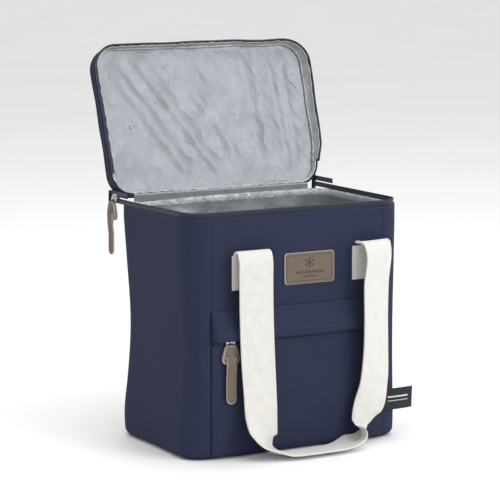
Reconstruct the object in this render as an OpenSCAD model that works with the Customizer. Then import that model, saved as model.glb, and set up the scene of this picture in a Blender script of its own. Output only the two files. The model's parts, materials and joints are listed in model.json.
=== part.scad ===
// Insulated cooler bag: a soft box of laminated walls with a zipped, hinged lid, a zipped
// front pocket, two webbing handles, leather zip pulls, a leather badge and a side tag.
// Frame: millimetres, +Z up, the origin in the middle of the base on the floor,
// -Y is the front of the bag and +X is its right-hand side seen from the front.

/* [Body] */
// Outside width of the bag, left to right
bag_w = 250; // [190:1:300]
// Outside depth of the bag, front to back
bag_d = 160; // [120:1:200]
// Height of the line where the mouth zip closes
mouth_z = 250; // [200:1:320]
// Radius of the four upright corners
corner_r = 24; // [18:1:34]
// Distance from a side of the bag to the upright seams of the front and back panels
seam_inset = 25; // [12:1:30]
// How far the front panel's seams sit to the right of the middle
front_shift = 0; // [-8:1:8]

/* [Layers] */
// Thickness of the outer fabric
fabric_t = 1; // [0.6:0.1:1.6]
// Thickness of the foam insulation
foam_t = 4; // [2:0.5:6]
// Thickness of the metallised lining
liner_t = 0.6; // [0.4:0.1:1]
// Thickness of the stiffening board under the base foam
board_t = 2; // [1:0.5:4]

/* [Lid] */
// Height of the closed lid above the zip line
lid_h = 17; // [14:1:26]
// Angle of the open lid from closed
lid_open = 108; // [90:1:120]

/* [Zips] */
// Width of a closed zip chain
chain_w = 5; // [4:0.5:8]
// Thickness of a zip chain
chain_t = 2; // [1.6:0.2:3]
// Thickness of the zip tape
tape_t = 0.6; // [0.4:0.1:0.8]
// Distance from the zip line to the fabric on each side of it
tape_w = 6; // [5:0.5:10]
// Length of a slider's body
slider_l = 10; // [8:0.5:14]
// Length of zip that runs straight back past the start of the rear corners
tail_l = 40; // [34:1:48]
// Running clearance round the sliders
play = 0.3; // [0.2:0.05:0.4]

/* [Handles] */
// Width of the handle webbing
web_w = 38; // [25:1:50]
// Thickness of the handle webbing
web_t = 2; // [1.4:0.2:3]
// Distance from a side of the bag to the middle of each webbing end
handle_inset = 55; // [36:1:60]
// How far the handles and the badge sit to the right of the middle
trim_shift = 12; // [-15:1:15]
// Distance from the zip line down to the top of the sewn ends
anchor_drop = 44; // [36:1:60]
// Height of a sewn webbing end
anchor_h = 36; // [25:1:50]
// Radius of the fold, at the middle of the webbing, where a handle hangs over
fold_r = 5.7; // [4:0.1:9]
// Distance from the bag to the nearer edge of the webbing that lies on the floor
run_gap = 8; // [5:1:26]
// Distance from the bag to a handle at the height where it starts to turn flat
drop_out = 15.5; // [14:0.5:24]
// Height at which a hanging handle starts to turn flat
turn_h = 38; // [30:1:60]
// How far each side of a hanging handle leans inwards on its way down
lean_in = 10; // [0:1:16]

/* [Pocket] */
// Distance from the zip line of the mouth down to the top of the pocket
pocket_drop = 100; // [90:1:120]
// Height of the flap over the pocket zip
flap_h = 30; // [26:1:45]
// Thickness of the pocket, sewn flat on the front
pocket_t = 3.8; // [3.8:0.1:8]
// Distance from the pocket's left side to its parked slider
park_x = 19; // [11:1:30]

/* [Trim] */
// Width of the leather badge
badge_w = 58; // [40:1:80]
// Height of the leather badge
badge_h = 32; // [20:1:40]
// Thickness of the leather
leather_t = 1.7; // [1.2:0.1:2.5]
// Height of the woven side tag
tag_h = 22.5; // [12:0.5:30]
// Length of the woven side tag
tag_l = 37; // [20:1:40]
// Height of the side tag's middle above the floor
tag_z = 40; // [25:1:80]

/* [Pulls] */
// Width of a leather pull at its wide end
bell_w = 18; // [14:0.5:18]
// Length of the wide end
bell_l = 19; // [14:0.5:26]
// Width of the narrow tongue
tongue_w = 11; // [7:0.5:12]
// Length of the mouth's pull, from the slider's bar to the tip
mouth_pull_l = 60; // [45:1:70]
// Length of the pocket's pull, from the slider's bar to the tip
pocket_pull_l = 64; // [45:1:70]
// Length of the wire loops between the middles of their bars
loop_h = 6; // [6:0.5:9]
// Width of the wire loops between the middles of their sides
loop_w = 9; // [7:0.5:10]
// Diameter of the wire loops
wire_d = 1.2; // [1:0.1:1.6]

/* [Hidden] */
$fn = 64;
gap = 0.1;          // clearance between layers that lie on each other
hem_h = 6;          // height of the hem where the zip tape is sewn in

// Planes and layers
front_y = -bag_d / 2;
back_y = bag_d / 2;
straight_y = back_y - corner_r;             // where the rear corners begin
foam_in = fabric_t + gap;                   // depths below the outside, layer by layer
liner_in = foam_in + foam_t + gap;
room_in = liner_in + liner_t;
base_foam_z = fabric_t + board_t + 2 * gap;
floor_z = base_foam_z + foam_t + gap;
hem_z = mouth_z - tape_w - hem_h;           // top of the foam and the lining
panel_top = mouth_z - tape_w;               // top of the outer fabric
tape_in = fabric_t + 2 * gap;               // the zip tape lies just inside the fabric
chain_in = tape_in + tape_t / 2 - chain_t / 2;
chain_gap = 1;                              // between the two halves of a closed chain
half_chain = (chain_w - chain_gap) / 2;

// Front and back panels between their seams
panel_half = bag_w / 2 - seam_inset;
front_seams = [front_shift - panel_half, front_shift + panel_half];
back_seams = [-panel_half, panel_half];

// Sliders: a plate on each side of the chain, a post between them and a crown bar
plate_t = 0.8;
plate_in = chain_t / 2 + play;
plate_out = plate_in + plate_t;
slider_half = half_chain + chain_gap / 2 + play + plate_t;
bar_out = plate_out + play + wire_d / 2;    // the wire loop's bar, out from the chain
crown_in = bar_out + wire_d / 2 + play;
crown_t = 0.8;
crown_half = 3;
leather_wrap = 1.6;                         // leather above the middle of a loop's lower bar
bell_t = wire_d + 1.2;                      // the wide end is folded over the wire
bell_back = bar_out - bell_t / 2;

// Handles
handle_half = bag_w / 2 - handle_inset;
anchor_top = mouth_z - anchor_drop;
anchor_out = web_t + gap;
pivot_out = anchor_out + fold_r + web_t / 2 + 2 * gap;  // pivot's distance from the panel

// Pocket
pocket_top = mouth_z - pocket_drop;
flap_edge = pocket_top - flap_h;
pocket_chain_z = flap_edge + 0.5;
pocket_chain_out = 2 * gap + plate_out;     // the pocket chain's distance from the panel
pocket_panel_top = pocket_chain_z - slider_half - 0.5;
flap_out = pocket_chain_out + crown_in + crown_t + 0.4;  // inside of the flap's free edge
flap_hem = 8;                               // upright part above the flap's free edge
tape_reach = 9;

// Mouth slider, parked on the tail behind the left rear corner
park_y = straight_y + tail_l - slider_l / 2 - 7;

// ---------- outlines ----------

// A rectangle with round corners, centred
module round_rect(w, d, r) {
    square([w - 2 * r, d], center = true);
    square([w, d - 2 * r], center = true);
    for (x = [-1, 1], y = [-1, 1])
        translate([x * (w / 2 - r), y * (d / 2 - r)]) circle(r);
}

// The bag's outline, taken in by a depth
module outline(depth) {
    round_rect(bag_w - 2 * depth, bag_d - 2 * depth, corner_r - depth);
}

// A wall all the way round between two depths
module ring(outer, inner) {
    difference() {
        outline(outer);
        outline(inner);
    }
}

// The parts of a wall that belong to one panel; seams are the x of its two seams
module front_part(seams) {
    intersection() {
        children();
        translate([seams[0] + gap, -bag_d]) square([seams[1] - seams[0] - 2 * gap, bag_d]);
    }
}

module back_part(seams) {
    mirror([0, 1]) front_part(seams) mirror([0, 1]) children();
}

module side_part(front_x, back_x, side) {
    reach = bag_w;
    intersection() {
        children();
        union() {
            translate([side > 0 ? front_x : front_x - reach, -bag_d]) square([reach, bag_d]);
            translate([side > 0 ? back_x : back_x - reach, 0]) square([reach, bag_d]);
        }
    }
}

// A wall's plan for the mouth zip: both sides and the front, with straight tails to the rear
module zip_plan(outer, inner, tail) {
    intersection() {
        ring(outer, inner);
        translate([-bag_w, -bag_d]) square([2 * bag_w, bag_d + straight_y]);
    }
    if (tail > 0)
        for (side = [-1, 1])
            tail_plan(outer, inner, side, straight_y - 1, straight_y + tail);
}

module tail_plan(outer, inner, side, from_y, to_y) {
    x0 = side > 0 ? bag_w / 2 - inner : -bag_w / 2 + outer;
    translate([x0, from_y]) square([inner - outer, to_y - from_y]);
}

module wall(z0, z1) {
    translate([0, 0, z0]) linear_extrude(z1 - z0) children();
}

// ---------- outer shell ----------

module outer_front() {
    color("midnightblue") wall(fabric_t + gap, panel_top)
        front_part(front_seams) ring(0, fabric_t);
}

module outer_back() {
    color("midnightblue") wall(fabric_t + gap, panel_top)
        back_part(back_seams) ring(0, fabric_t);
}

module outer_left() {
    color("midnightblue") wall(fabric_t + gap, panel_top)
        side_part(front_seams[0] - gap, back_seams[0] - gap, -1) ring(0, fabric_t);
}

module outer_right() {
    color("midnightblue") wall(fabric_t + gap, panel_top)
        side_part(front_seams[1] + gap, back_seams[1] + gap, 1) ring(0, fabric_t);
}

module outer_base() {
    color("midnightblue") wall(0, fabric_t) outline(0);
}

// ---------- insulation and base ----------

module foam_ring() {
    ring(foam_in, foam_in + foam_t);
}

module foam_front() {
    color("white") wall(fabric_t + gap, hem_z) front_part(front_seams) foam_ring();
}

module foam_back() {
    color("white") wall(fabric_t + gap, hem_z) back_part(back_seams) foam_ring();
}

module foam_left() {
    color("white") wall(fabric_t + gap, hem_z)
        side_part(front_seams[0] - gap, back_seams[0] - gap, -1) foam_ring();
}

module foam_right() {
    color("white") wall(fabric_t + gap, hem_z)
        side_part(front_seams[1] + gap, back_seams[1] + gap, 1) foam_ring();
}

module foam_base() {
    color("white") wall(base_foam_z, base_foam_z + foam_t) outline(liner_in + gap);
}

module base_board() {
    color("dimgray") wall(fabric_t + gap, fabric_t + gap + board_t) outline(liner_in + gap);
}

// ---------- lining ----------

module liner_ring() {
    ring(liner_in, room_in);
}

module liner_front() {
    color("silver") wall(floor_z, hem_z) front_part(front_seams) liner_ring();
}

module liner_back() {
    color("silver") wall(floor_z, hem_z) back_part(back_seams) liner_ring();
}

module liner_left() {
    color("silver") wall(floor_z, hem_z)
        side_part(front_seams[0] - gap, back_seams[0] - gap, -1) liner_ring();
}

module liner_right() {
    color("silver") wall(floor_z, hem_z)
        side_part(front_seams[1] + gap, back_seams[1] + gap, 1) liner_ring();
}

module liner_floor() {
    color("silver") wall(floor_z, floor_z + liner_t) outline(room_in + gap);
}

// ---------- mouth: hem, zip and hinge ----------

module mouth_hem() {
    color("silver") wall(hem_z + gap, panel_top - gap) ring(tape_in + tape_t + gap, room_in);
}

module mouth_zip_tape() {
    color("black") {
        wall(hem_z + gap, mouth_z - chain_w / 2) zip_plan(tape_in, tape_in + tape_t, 0);
        wall(panel_top + gap, mouth_z - chain_w / 2) zip_plan(tape_in, tape_in + tape_t, tail_l);
    }
}

module mouth_zip_teeth() {
    color("black") wall(mouth_z - chain_w / 2, mouth_z - chain_gap / 2)
        zip_plan(chain_in, chain_in + chain_t, tail_l);
}

// The upper half of the zip beyond the lid, closed for good by its sewn end
module zip_tail(side) {
    y0 = straight_y + 2;
    y1 = straight_y + tail_l;
    color("black") {
        wall(mouth_z + chain_gap / 2, mouth_z + chain_w / 2)
            tail_plan(chain_in, chain_in + chain_t, side, y0, y1);
        wall(mouth_z + chain_w / 2, mouth_z + tape_w)
            tail_plan(tape_in, tape_in + tape_t, side, y0, y1);
    }
}

// The fabric tab that wraps the end of the tail and hangs down behind the corner
module zip_tab(side) {
    tab_t = chain_t + 0.8;
    x0 = side * (bag_w / 2 - tape_in - tape_t / 2) - tab_t / 2;
    y0 = straight_y + tail_l + gap;
    color("midnightblue") translate([x0, y0, mouth_z - 34])
        cube([tab_t, 1.6, 34 + tape_w]);
}

module hinge_flat(z0, z1) {
    half = bag_w / 2 - corner_r;
    translate([-half, back_y - fabric_t, z0]) cube([2 * half, fabric_t, z1 - z0]);
}

module hinge_strip() {
    color("midnightblue") hinge_flat(panel_top + gap, mouth_z - 0.4);
}

// ---------- lid, built closed and then opened ----------

module opened() {
    translate([0, back_y, mouth_z]) rotate([-lid_open, 0, 0])
        translate([0, -back_y, -mouth_z]) children();
}

lid_top = mouth_z + lid_h;
lid_foam_z = lid_top - fabric_t - gap - foam_t;
lid_liner_z = lid_foam_z - gap - liner_t;
gusset_z = mouth_z + tape_w;

module lid_panel() {
    color("midnightblue") opened() wall(lid_top - fabric_t, lid_top) outline(0);
}

module lid_foam() {
    color("white") opened() wall(lid_foam_z, lid_foam_z + foam_t) outline(foam_in);
}

module lid_liner() {
    color("silver") opened() wall(lid_liner_z, lid_liner_z + liner_t)
        outline(tape_in + tape_t + liner_t + 2 * gap);
}

module lid_gusset() {
    color("midnightblue") opened() wall(gusset_z, lid_top - fabric_t - gap) ring(0, fabric_t);
}

module lid_gusset_liner() {
    depth = tape_in + tape_t + gap;
    color("silver") opened() wall(gusset_z, lid_foam_z - gap) ring(depth, depth + liner_t);
}

module lid_binding() {
    depth = tape_in + tape_t + liner_t + 2 * gap;
    color("silver") opened() wall(lid_liner_z - gap - 2, lid_liner_z - gap) ring(depth, depth + 2);
}

module lid_hinge_strip() {
    color("midnightblue") opened() hinge_flat(mouth_z + 0.4, gusset_z - gap);
}

module lid_zip_tape() {
    color("black") opened() wall(mouth_z + chain_w / 2, gusset_z + 4)
        zip_plan(tape_in, tape_in + tape_t, 0);
}

module lid_zip_teeth() {
    color("black") opened() wall(mouth_z + chain_gap / 2, mouth_z + chain_w / 2)
        zip_plan(chain_in, chain_in + chain_t, 0);
}

// ---------- pocket ----------

module pocket_panel() {
    edge = 2;
    w = front_seams[1] - front_seams[0];
    color("midnightblue") translate([front_seams[0], front_y - pocket_t, fabric_t + edge])
        difference() {
            cube([w, pocket_t - gap, pocket_panel_top - fabric_t - edge]);
            translate([edge, fabric_t, edge])
                cube([w - 2 * edge, pocket_t, pocket_panel_top]);
        }
}

module pocket_lining() {
    inset = 6;
    w = front_seams[1] - front_seams[0] - 2 * inset;
    color("gray") translate([front_seams[0] + inset, front_y - gap - 0.5, fabric_t + inset])
        cube([w, 0.5, pocket_panel_top - tape_reach - fabric_t - inset]);
}

// A slanting cover, sewn down along its top and its two ends, with a free lower edge
module pocket_flap() {
    top_out = fabric_t + 2 * gap;
    w = front_seams[1] - front_seams[0];
    color("midnightblue") {
        translate([front_seams[0], 0, 0]) rotate([90, 0, 90]) linear_extrude(w)
            polygon([[front_y - gap, pocket_top], [front_y - gap, pocket_top - 4],
                     [front_y - flap_out, flap_edge + flap_hem], [front_y - flap_out, flap_edge],
                     [front_y - flap_out - fabric_t, flap_edge],
                     [front_y - flap_out - fabric_t, flap_edge + flap_hem],
                     [front_y - top_out, pocket_top]]);
        for (x = [front_seams[0], front_seams[1] - fabric_t])
            translate([x, 0, 0]) rotate([90, 0, 90]) linear_extrude(fabric_t)
                polygon([[front_y - gap, pocket_top - 3], [front_y - gap, flap_edge],
                         [front_y - flap_out - fabric_t / 2, flap_edge],
                         [front_y - flap_out - fabric_t / 2, flap_edge + flap_hem]]);
    }
}

module pocket_zip_run(z0, z1, thick) {
    inset = fabric_t + 1;
    translate([front_seams[0] + inset, front_y - pocket_chain_out - thick / 2, z0])
        cube([front_seams[1] - front_seams[0] - 2 * inset, thick, z1 - z0]);
}

module pocket_zip_tape() {
    color("black") for (s = [-1, 1]) {
        near = pocket_chain_z + s * chain_w / 2;
        far = pocket_chain_z + s * tape_reach;
        pocket_zip_run(min(near, far), max(near, far), tape_t);
    }
}

module pocket_zip_teeth() {
    color("black") for (s = [-1, 1]) {
        near = pocket_chain_z + s * chain_gap / 2;
        far = pocket_chain_z + s * chain_w / 2;
        pocket_zip_run(min(near, far), max(near, far), chain_t);
    }
}

// ---------- badge and tag ----------

badge_z = (anchor_top + anchor_top - anchor_h) / 2 - 1.5;

module badge_plate(w, h, r, thick, out) {
    translate([trim_shift, front_y - out, badge_z]) rotate([90, 0, 0])
        linear_extrude(thick) round_rect(w, h, r);
}

module badge() {
    color("tan") badge_plate(badge_w, badge_h, 4, leather_t, gap);
}

module badge_stitching() {
    inset = 3;
    color("saddlebrown") difference() {
        badge_plate(badge_w - 2 * inset, badge_h - 2 * inset, 3, 0.4, gap + leather_t);
        badge_plate(badge_w - 2 * inset - 1.6, badge_h - 2 * inset - 1.6, 2.2, 2, leather_t - 0.5);
    }
}

module side_tag() {
    tag_t = 0.6;
    fold = 0.4;
    color("black") translate([front_seams[1] + gap, front_y - gap - 2 * tag_t - fold, tag_z - tag_h / 2])
        difference() {
            cube([tag_l, 2 * tag_t + fold, tag_h]);
            translate([-1, tag_t, -1]) cube([tag_l + 1 - 2 * tag_t, fold, tag_h + 2]);
        }
}

// ---------- handles ----------

// The two sewn ends on the front; the back has the same, mirrored
module strap_ends() {
    color("ivory") for (s = [-1, 1])
        translate([trim_shift + s * handle_half - web_w / 2, front_y - anchor_out,
                   anchor_top - anchor_h])
            cube([web_w, web_t, anchor_h]);
}

// A box of thread with a cross inside it on each sewn end
module strap_stitching() {
    inset = 4;
    thread = 0.8;
    w = web_w - 2 * inset;
    h = anchor_h - 2 * inset;
    lean = atan2(h - thread, w - thread);
    long = norm([w - thread, h - thread]);
    color("white") for (s = [-1, 1])
        translate([trim_shift + s * handle_half, front_y - anchor_out, anchor_top - anchor_h / 2])
            rotate([90, 0, 0]) linear_extrude(0.15) {
                difference() {
                    square([w, h], center = true);
                    square([w - 2 * thread, h - 2 * thread], center = true);
                }
                for (a = [lean, -lean]) rotate(a) square([long, thread], center = true);
            }
}

// A hanging handle. Each station is [centre, width direction, outward direction].
// It starts beside the sewn end, folds over, hangs down, turns flat and lies on the floor.
fold_angles = [for (a = [8 : 17.2 : 181]) a];
turn_w = 34;
turn_steps = 14;
run_z = web_t / 2;
pivot_y = front_y - pivot_out;
run_y = front_y - run_gap - web_w / 2;
drop_top_y = pivot_y - fold_r;
drop_end_y = front_y - drop_out;
left_x = trim_shift - handle_half;
low_x = left_x + lean_in;

function fold_station(a) =
    [[left_x, pivot_y + fold_r * cos(a), anchor_top + fold_r * sin(a)],
     [1, 0, 0], [0, cos(a), sin(a)]];

function drop_station(k) =
    [[left_x + k * lean_in, drop_top_y + k * (drop_end_y - drop_top_y),
      anchor_top + k * (turn_h - anchor_top)],
     [1, 0, 0], [0, -1, 0]];

// Turning in the x-z plane through t = 0 to 90 while the webbing twists to lie flat
function turn_station(t) =
    let (twist = min(90, 1.6 * t),
         run = [turn_w * sin(t), 0, -(turn_h - run_z) * cos(t)],
         along = run / norm(run),
         across = [-along[2], 0, along[0]],
         wide = cos(twist) * across + sin(twist) * [0, 1, 0])
    [[low_x + turn_w * (1 - cos(t)), drop_end_y + (run_y - drop_end_y) * min(1, t / 60),
      turn_h - (turn_h - run_z) * sin(t)],
     wide, cross(along, wide)];

half_handle = concat([for (a = fold_angles) fold_station(a)],
                     [for (k = [0.25, 0.5, 0.75]) drop_station(k)],
                     [for (i = [0 : turn_steps]) turn_station(90 * i / turn_steps)]);

function mirrored(s) = [[2 * trim_shift - s[0][0], s[0][1], s[0][2]],
                        [-s[1][0], s[1][1], s[1][2]], [-s[2][0], s[2][1], s[2][2]]];

handle_stations = concat(half_handle,
    [for (i = [len(half_handle) - 1 : -1 : 0]) mirrored(half_handle[i])]);

// A flat band with a rectangular section through every station
module band(stations, w, t) {
    n = len(stations);
    corners = [[1, 1], [-1, 1], [-1, -1], [1, -1]];
    points = [for (s = stations, c = corners) s[0] + c[0] * w / 2 * s[1] + c[1] * t / 2 * s[2]];
    sides = [for (i = [0 : n - 2], j = [0 : 3], half = [0, 1])
        let (a = 4 * i + j, b = 4 * i + (j + 1) % 4)
        half == 0 ? [a, b, b + 4] : [a, b + 4, a + 4]];
    last = 4 * (n - 1);
    ends = [[3, 2, 1], [3, 1, 0], [last, last + 1, last + 2], [last, last + 2, last + 3]];
    polyhedron(points, concat(sides, ends), convexity = 8);
}

module handle() {
    color("ivory") band(handle_stations, web_w, web_t);
}

// ---------- sliders and pulls ----------
// Local frame: x along the zip, -y outwards, z across the zip, the chain's middle at the origin.

module slider() {
    color("silver") {
        for (s = [-1, 1]) {
            translate([-slider_l / 2, s > 0 ? plate_in : -plate_out, -slider_half])
                cube([slider_l, plate_t, 2 * slider_half]);
            for (z = [-slider_half, slider_half - plate_t])
                translate([-slider_l / 2, s > 0 ? tape_t / 2 + play : -plate_in - gap, z])
                    cube([slider_l, plate_in + gap - tape_t / 2 - play, plate_t]);
        }
        translate([slider_l / 2 - 3, -plate_in - gap, -chain_gap / 2 + play])
            cube([3, 2 * (plate_in + gap), chain_gap - 2 * play]);
        for (z = [-crown_half, crown_half - 1])
            translate([-1, -crown_in - crown_t, z])
                cube([2, crown_in + crown_t - plate_out + gap, 1]);
        translate([-1, -crown_in - crown_t, -crown_half]) cube([2, crown_t, 2 * crown_half]);
    }
}

// A bent wire link, its top bar under the slider's crown
module pull_loop() {
    r = wire_d / 2;
    color("silver") translate([0, -bar_out, 0]) {
        for (z = [0, -loop_h]) {
            translate([-loop_w / 2, 0, z]) rotate([0, 90, 0]) cylinder(r = r, h = loop_w);
            for (x = [-1, 1]) translate([x * loop_w / 2, 0, z]) sphere(r);
        }
        for (x = [-1, 1]) translate([x * loop_w / 2, 0, -loop_h]) cylinder(r = r, h = loop_h);
    }
}

// A leather pull: a wide end folded over the loop, with a narrow tongue drawn through it
module puller(long) {
    top = loop_h - leather_wrap;
    bell_end = top + bell_l;
    neck = loop_w / 2 + wire_d / 2 + 0.5;
    round_r = 4;
    color("rosybrown") {
        difference() {
            translate([0, -bell_back, 0]) rotate([90, 0, 0]) linear_extrude(bell_t) {
                polygon([[-neck, -top], [-bell_w / 2, round_r - bell_end],
                         [round_r - bell_w / 2, -bell_end], [bell_w / 2 - round_r, -bell_end],
                         [bell_w / 2, round_r - bell_end], [neck, -top]]);
                for (s = [-1, 1]) translate([s * (bell_w / 2 - round_r), round_r - bell_end])
                    circle(round_r);
            }
            loop_space();
        }
        translate([0, -bell_back - bell_t + gap, 0]) rotate([90, 0, 0]) linear_extrude(leather_t) {
            translate([-tongue_w / 2, tongue_w / 2 - long])
                square([tongue_w, long - tongue_w / 2 - top - bell_l * 0.55]);
            translate([0, tongue_w / 2 - long]) circle(tongue_w / 2);
        }
    }
}

// The slot in the leather for the lower end of the wire loop
module loop_space() {
    r = wire_d / 2 + gap;
    translate([-loop_w / 2 - r, -bar_out - r, -loop_h - r])
        cube([loop_w + 2 * r, 2 * r, loop_h]);
}

module at_mouth_slider() {
    translate([-bag_w / 2 + tape_in + tape_t / 2, park_y, mouth_z]) rotate([0, 0, -90]) children();
}

module at_pocket_slider() {
    translate([front_seams[0] + park_x, front_y - pocket_chain_out, pocket_chain_z]) children();
}

outer_front();
outer_back();
outer_left();
outer_right();
outer_base();
foam_front();
foam_back();
foam_left();
foam_right();
foam_base();
base_board();
liner_front();
liner_back();
liner_left();
liner_right();
liner_floor();
mouth_hem();
mouth_zip_tape();
mouth_zip_teeth();
hinge_strip();
zip_tail(-1);  // zip_tail_left
zip_tail(1);  // zip_tail_right
zip_tab(-1);  // zip_tab_left
zip_tab(1);  // zip_tab_right
pocket_panel();
pocket_lining();
pocket_flap();
pocket_zip_tape();
pocket_zip_teeth();
badge();
badge_stitching();
side_tag();
strap_ends();  // front_strap_ends
mirror([0, 1, 0]) strap_ends();  // back_strap_ends
strap_stitching();  // front_strap_stitching
mirror([0, 1, 0]) strap_stitching();  // back_strap_stitching
lid_panel();
lid_foam();
lid_liner();
lid_gusset();
lid_gusset_liner();
lid_binding();
lid_hinge_strip();
lid_zip_tape();
lid_zip_teeth();
handle();  // front_handle
mirror([0, 1, 0]) handle();  // back_handle
at_mouth_slider() slider();  // mouth_slider
at_mouth_slider() pull_loop();  // mouth_pull_loop
at_mouth_slider() puller(mouth_pull_l);  // mouth_puller
at_pocket_slider() slider();  // pocket_slider
at_pocket_slider() pull_loop();  // pocket_pull_loop
at_pocket_slider() puller(pocket_pull_l);  // pocket_puller
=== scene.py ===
import json
import math
import bmesh
import bpy
import numpy as np
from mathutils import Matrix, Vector


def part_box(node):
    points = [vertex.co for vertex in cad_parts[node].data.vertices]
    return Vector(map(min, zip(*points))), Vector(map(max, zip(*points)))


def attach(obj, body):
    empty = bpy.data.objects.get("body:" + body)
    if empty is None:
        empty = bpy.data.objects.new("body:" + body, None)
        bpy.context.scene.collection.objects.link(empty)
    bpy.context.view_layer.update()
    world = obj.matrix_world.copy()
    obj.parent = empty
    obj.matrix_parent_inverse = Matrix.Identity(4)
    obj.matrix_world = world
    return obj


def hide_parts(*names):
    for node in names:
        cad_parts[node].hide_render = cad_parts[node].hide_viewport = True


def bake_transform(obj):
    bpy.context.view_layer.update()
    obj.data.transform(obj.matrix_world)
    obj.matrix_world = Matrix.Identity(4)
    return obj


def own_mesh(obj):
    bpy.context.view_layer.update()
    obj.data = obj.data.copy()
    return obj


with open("model.json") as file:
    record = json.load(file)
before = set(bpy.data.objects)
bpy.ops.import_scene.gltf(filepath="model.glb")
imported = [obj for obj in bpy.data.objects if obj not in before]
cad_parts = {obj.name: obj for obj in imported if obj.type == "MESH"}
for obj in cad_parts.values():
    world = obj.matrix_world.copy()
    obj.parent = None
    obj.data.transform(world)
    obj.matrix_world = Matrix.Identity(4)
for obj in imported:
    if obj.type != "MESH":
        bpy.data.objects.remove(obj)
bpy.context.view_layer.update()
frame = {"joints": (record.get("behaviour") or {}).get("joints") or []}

mm = 0.001
tau = 2 * math.pi
joints = {joint["name"]: joint for joint in frame["joints"]}


def boxOf(node):
    # a CAD node's lowest and highest corners, in millimetres
    low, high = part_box(node)
    return np.array(low) / mm, np.array(high) / mm


def span(node, axis):
    # a CAD node's lowest and highest place along one axis
    low, high = boxOf(node)
    return low[axis], high[axis]


# Places that the CAD settles, in millimetres
halfW = span("outer_base", 0)[1]
halfD = span("outer_base", 1)[1]
hingeGap = 0.4                   # the hinge strip stops this far below the mouth
mouthZ = span("hinge_strip", 2)[1] + hingeGap
panelTop = span("outer_front", 2)[1]
frontSeams = span("outer_front", 0)
backSeams = span("outer_back", 0)
lidOpen = math.radians(joints["lid_hinge"]["range_deg"][1])
forward = [0, -1.0, 0]           # out of the front panel
upwards = [0, 0, 1.0]

bag = {
    "cornerRadius": 24,      # upright corners
    "underRadius": 8,        # where the walls roll under the bag
    "fabric": 1.0,
    "foam": 4.0,
    "lining": 0.6,
    "waist": 5.0,            # how far the left side is drawn in at half height
    "hips": 2.0,             # how far it swells just above the floor
    "lip": 2.2,              # how far it spreads below the mouth
    "droop": 2.0,            # how far the mouth sags at the left rear corner
    "ripple": 0.5,
}


# Meshes

def gridPart(points, closedU=False, closedV=False):
    # A surface over a grid of points: one four-sided face for each cell, and UVs that measure millimetres
    points = np.asarray(points, float)
    n, m = points.shape[:2]
    i = np.arange(n if closedU else n - 1)[:, None]
    j = np.arange(m if closedV else m - 1)[None, :]
    iNext, jNext = (i + 1) % n, (j + 1) % m
    faces = np.stack([i * m + j, iNext * m + j, iNext * m + jNext, i * m + jNext], -1).reshape(-1, 4)
    alongU = np.linalg.norm(np.diff(points, axis=0, append=points[:1]), axis=2).mean(1)
    alongV = np.linalg.norm(np.diff(points, axis=1, append=points[:, :1]), axis=2).mean(0)
    u = np.concatenate([[0], np.cumsum(alongU)])
    v = np.concatenate([[0], np.cumsum(alongV)])
    uv = np.stack(np.meshgrid(u, v, indexing="ij"), -1)
    i, j = np.broadcast_arrays(i, j)
    corners = np.stack([uv[i, j], uv[i + 1, j], uv[i + 1, j + 1], uv[i, j + 1]], 2).reshape(-1, 4, 2)
    return points.reshape(-1, 3), faces, corners


def unit(vectors):
    # Each vector divided by its own length
    return vectors / np.maximum(np.linalg.norm(vectors, axis=-1, keepdims=True), 1e-9)


def shellParts(outer, inner, closedU=False):
    # Two matching sheets joined round their edges into one closed shell
    around = np.concatenate([outer, inner[:, ::-1]], axis=1)
    parts = [gridPart(around, closedU, closedV=True)]
    if not closedU:
        parts += [gridPart(np.stack([outer[row], inner[row]])) for row in (0, -1)]
    return parts


def sheetParts(points, thickness):
    # A sheet given thickness along its own normals, which are the cross product of its two directions
    normal = unit(np.cross(np.gradient(points, axis=0), np.gradient(points, axis=1)))
    return shellParts(points, points - thickness * normal)


def endFans(points):
    # Flat ends for a tube: its first and last sections, each drawn in to its own middle
    return [gridPart(np.stack([end, np.repeat(end.mean(0)[None], len(end), 0)]), closedV=True)
            for end in (points[0], points[-1])]


def bandParts(centres, wide, out, profile, closed=False):
    # A closed cross-section carried along a path: centre + a * wide + b * out, with flat ends
    points = (centres[:, None] + profile[None, :, 0, None] * wide[:, None]
              + profile[None, :, 1, None] * out[:, None])
    tube = [gridPart(points, closedU=closed, closedV=True)]
    return tube if closed else tube + endFans(points)


def powered(value, power):
    # A sine or cosine raised to a power, with its sign kept
    return np.sign(value) * np.abs(value) ** power


def roundProfile(halfWidth, halfHeight, power=1.0, count=12):
    # Cosine and sine raised to a power: 1 is an ellipse, and less is squarer
    ring = np.linspace(0, tau, count, endpoint=False)
    return np.stack([halfWidth * powered(np.cos(ring), power), halfHeight * powered(np.sin(ring), power)], -1)


def blockParts(centre, half, power=0.35, turns=20):
    # A superellipsoid: cosines and sines raised to a small power give a block with soft edges
    a = np.linspace(-math.pi / 2, math.pi / 2, turns // 2 + 1)[:, None]
    b = np.linspace(0, tau, turns, endpoint=False)[None, :]
    level = powered(np.cos(a), power)
    shape = np.stack([level * powered(np.cos(b), power), level * powered(np.sin(b), power),
                      powered(np.sin(a), power) + 0 * b], -1)
    return [gridPart(np.array(centre) + shape * np.array(half), closedV=True)]


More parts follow.
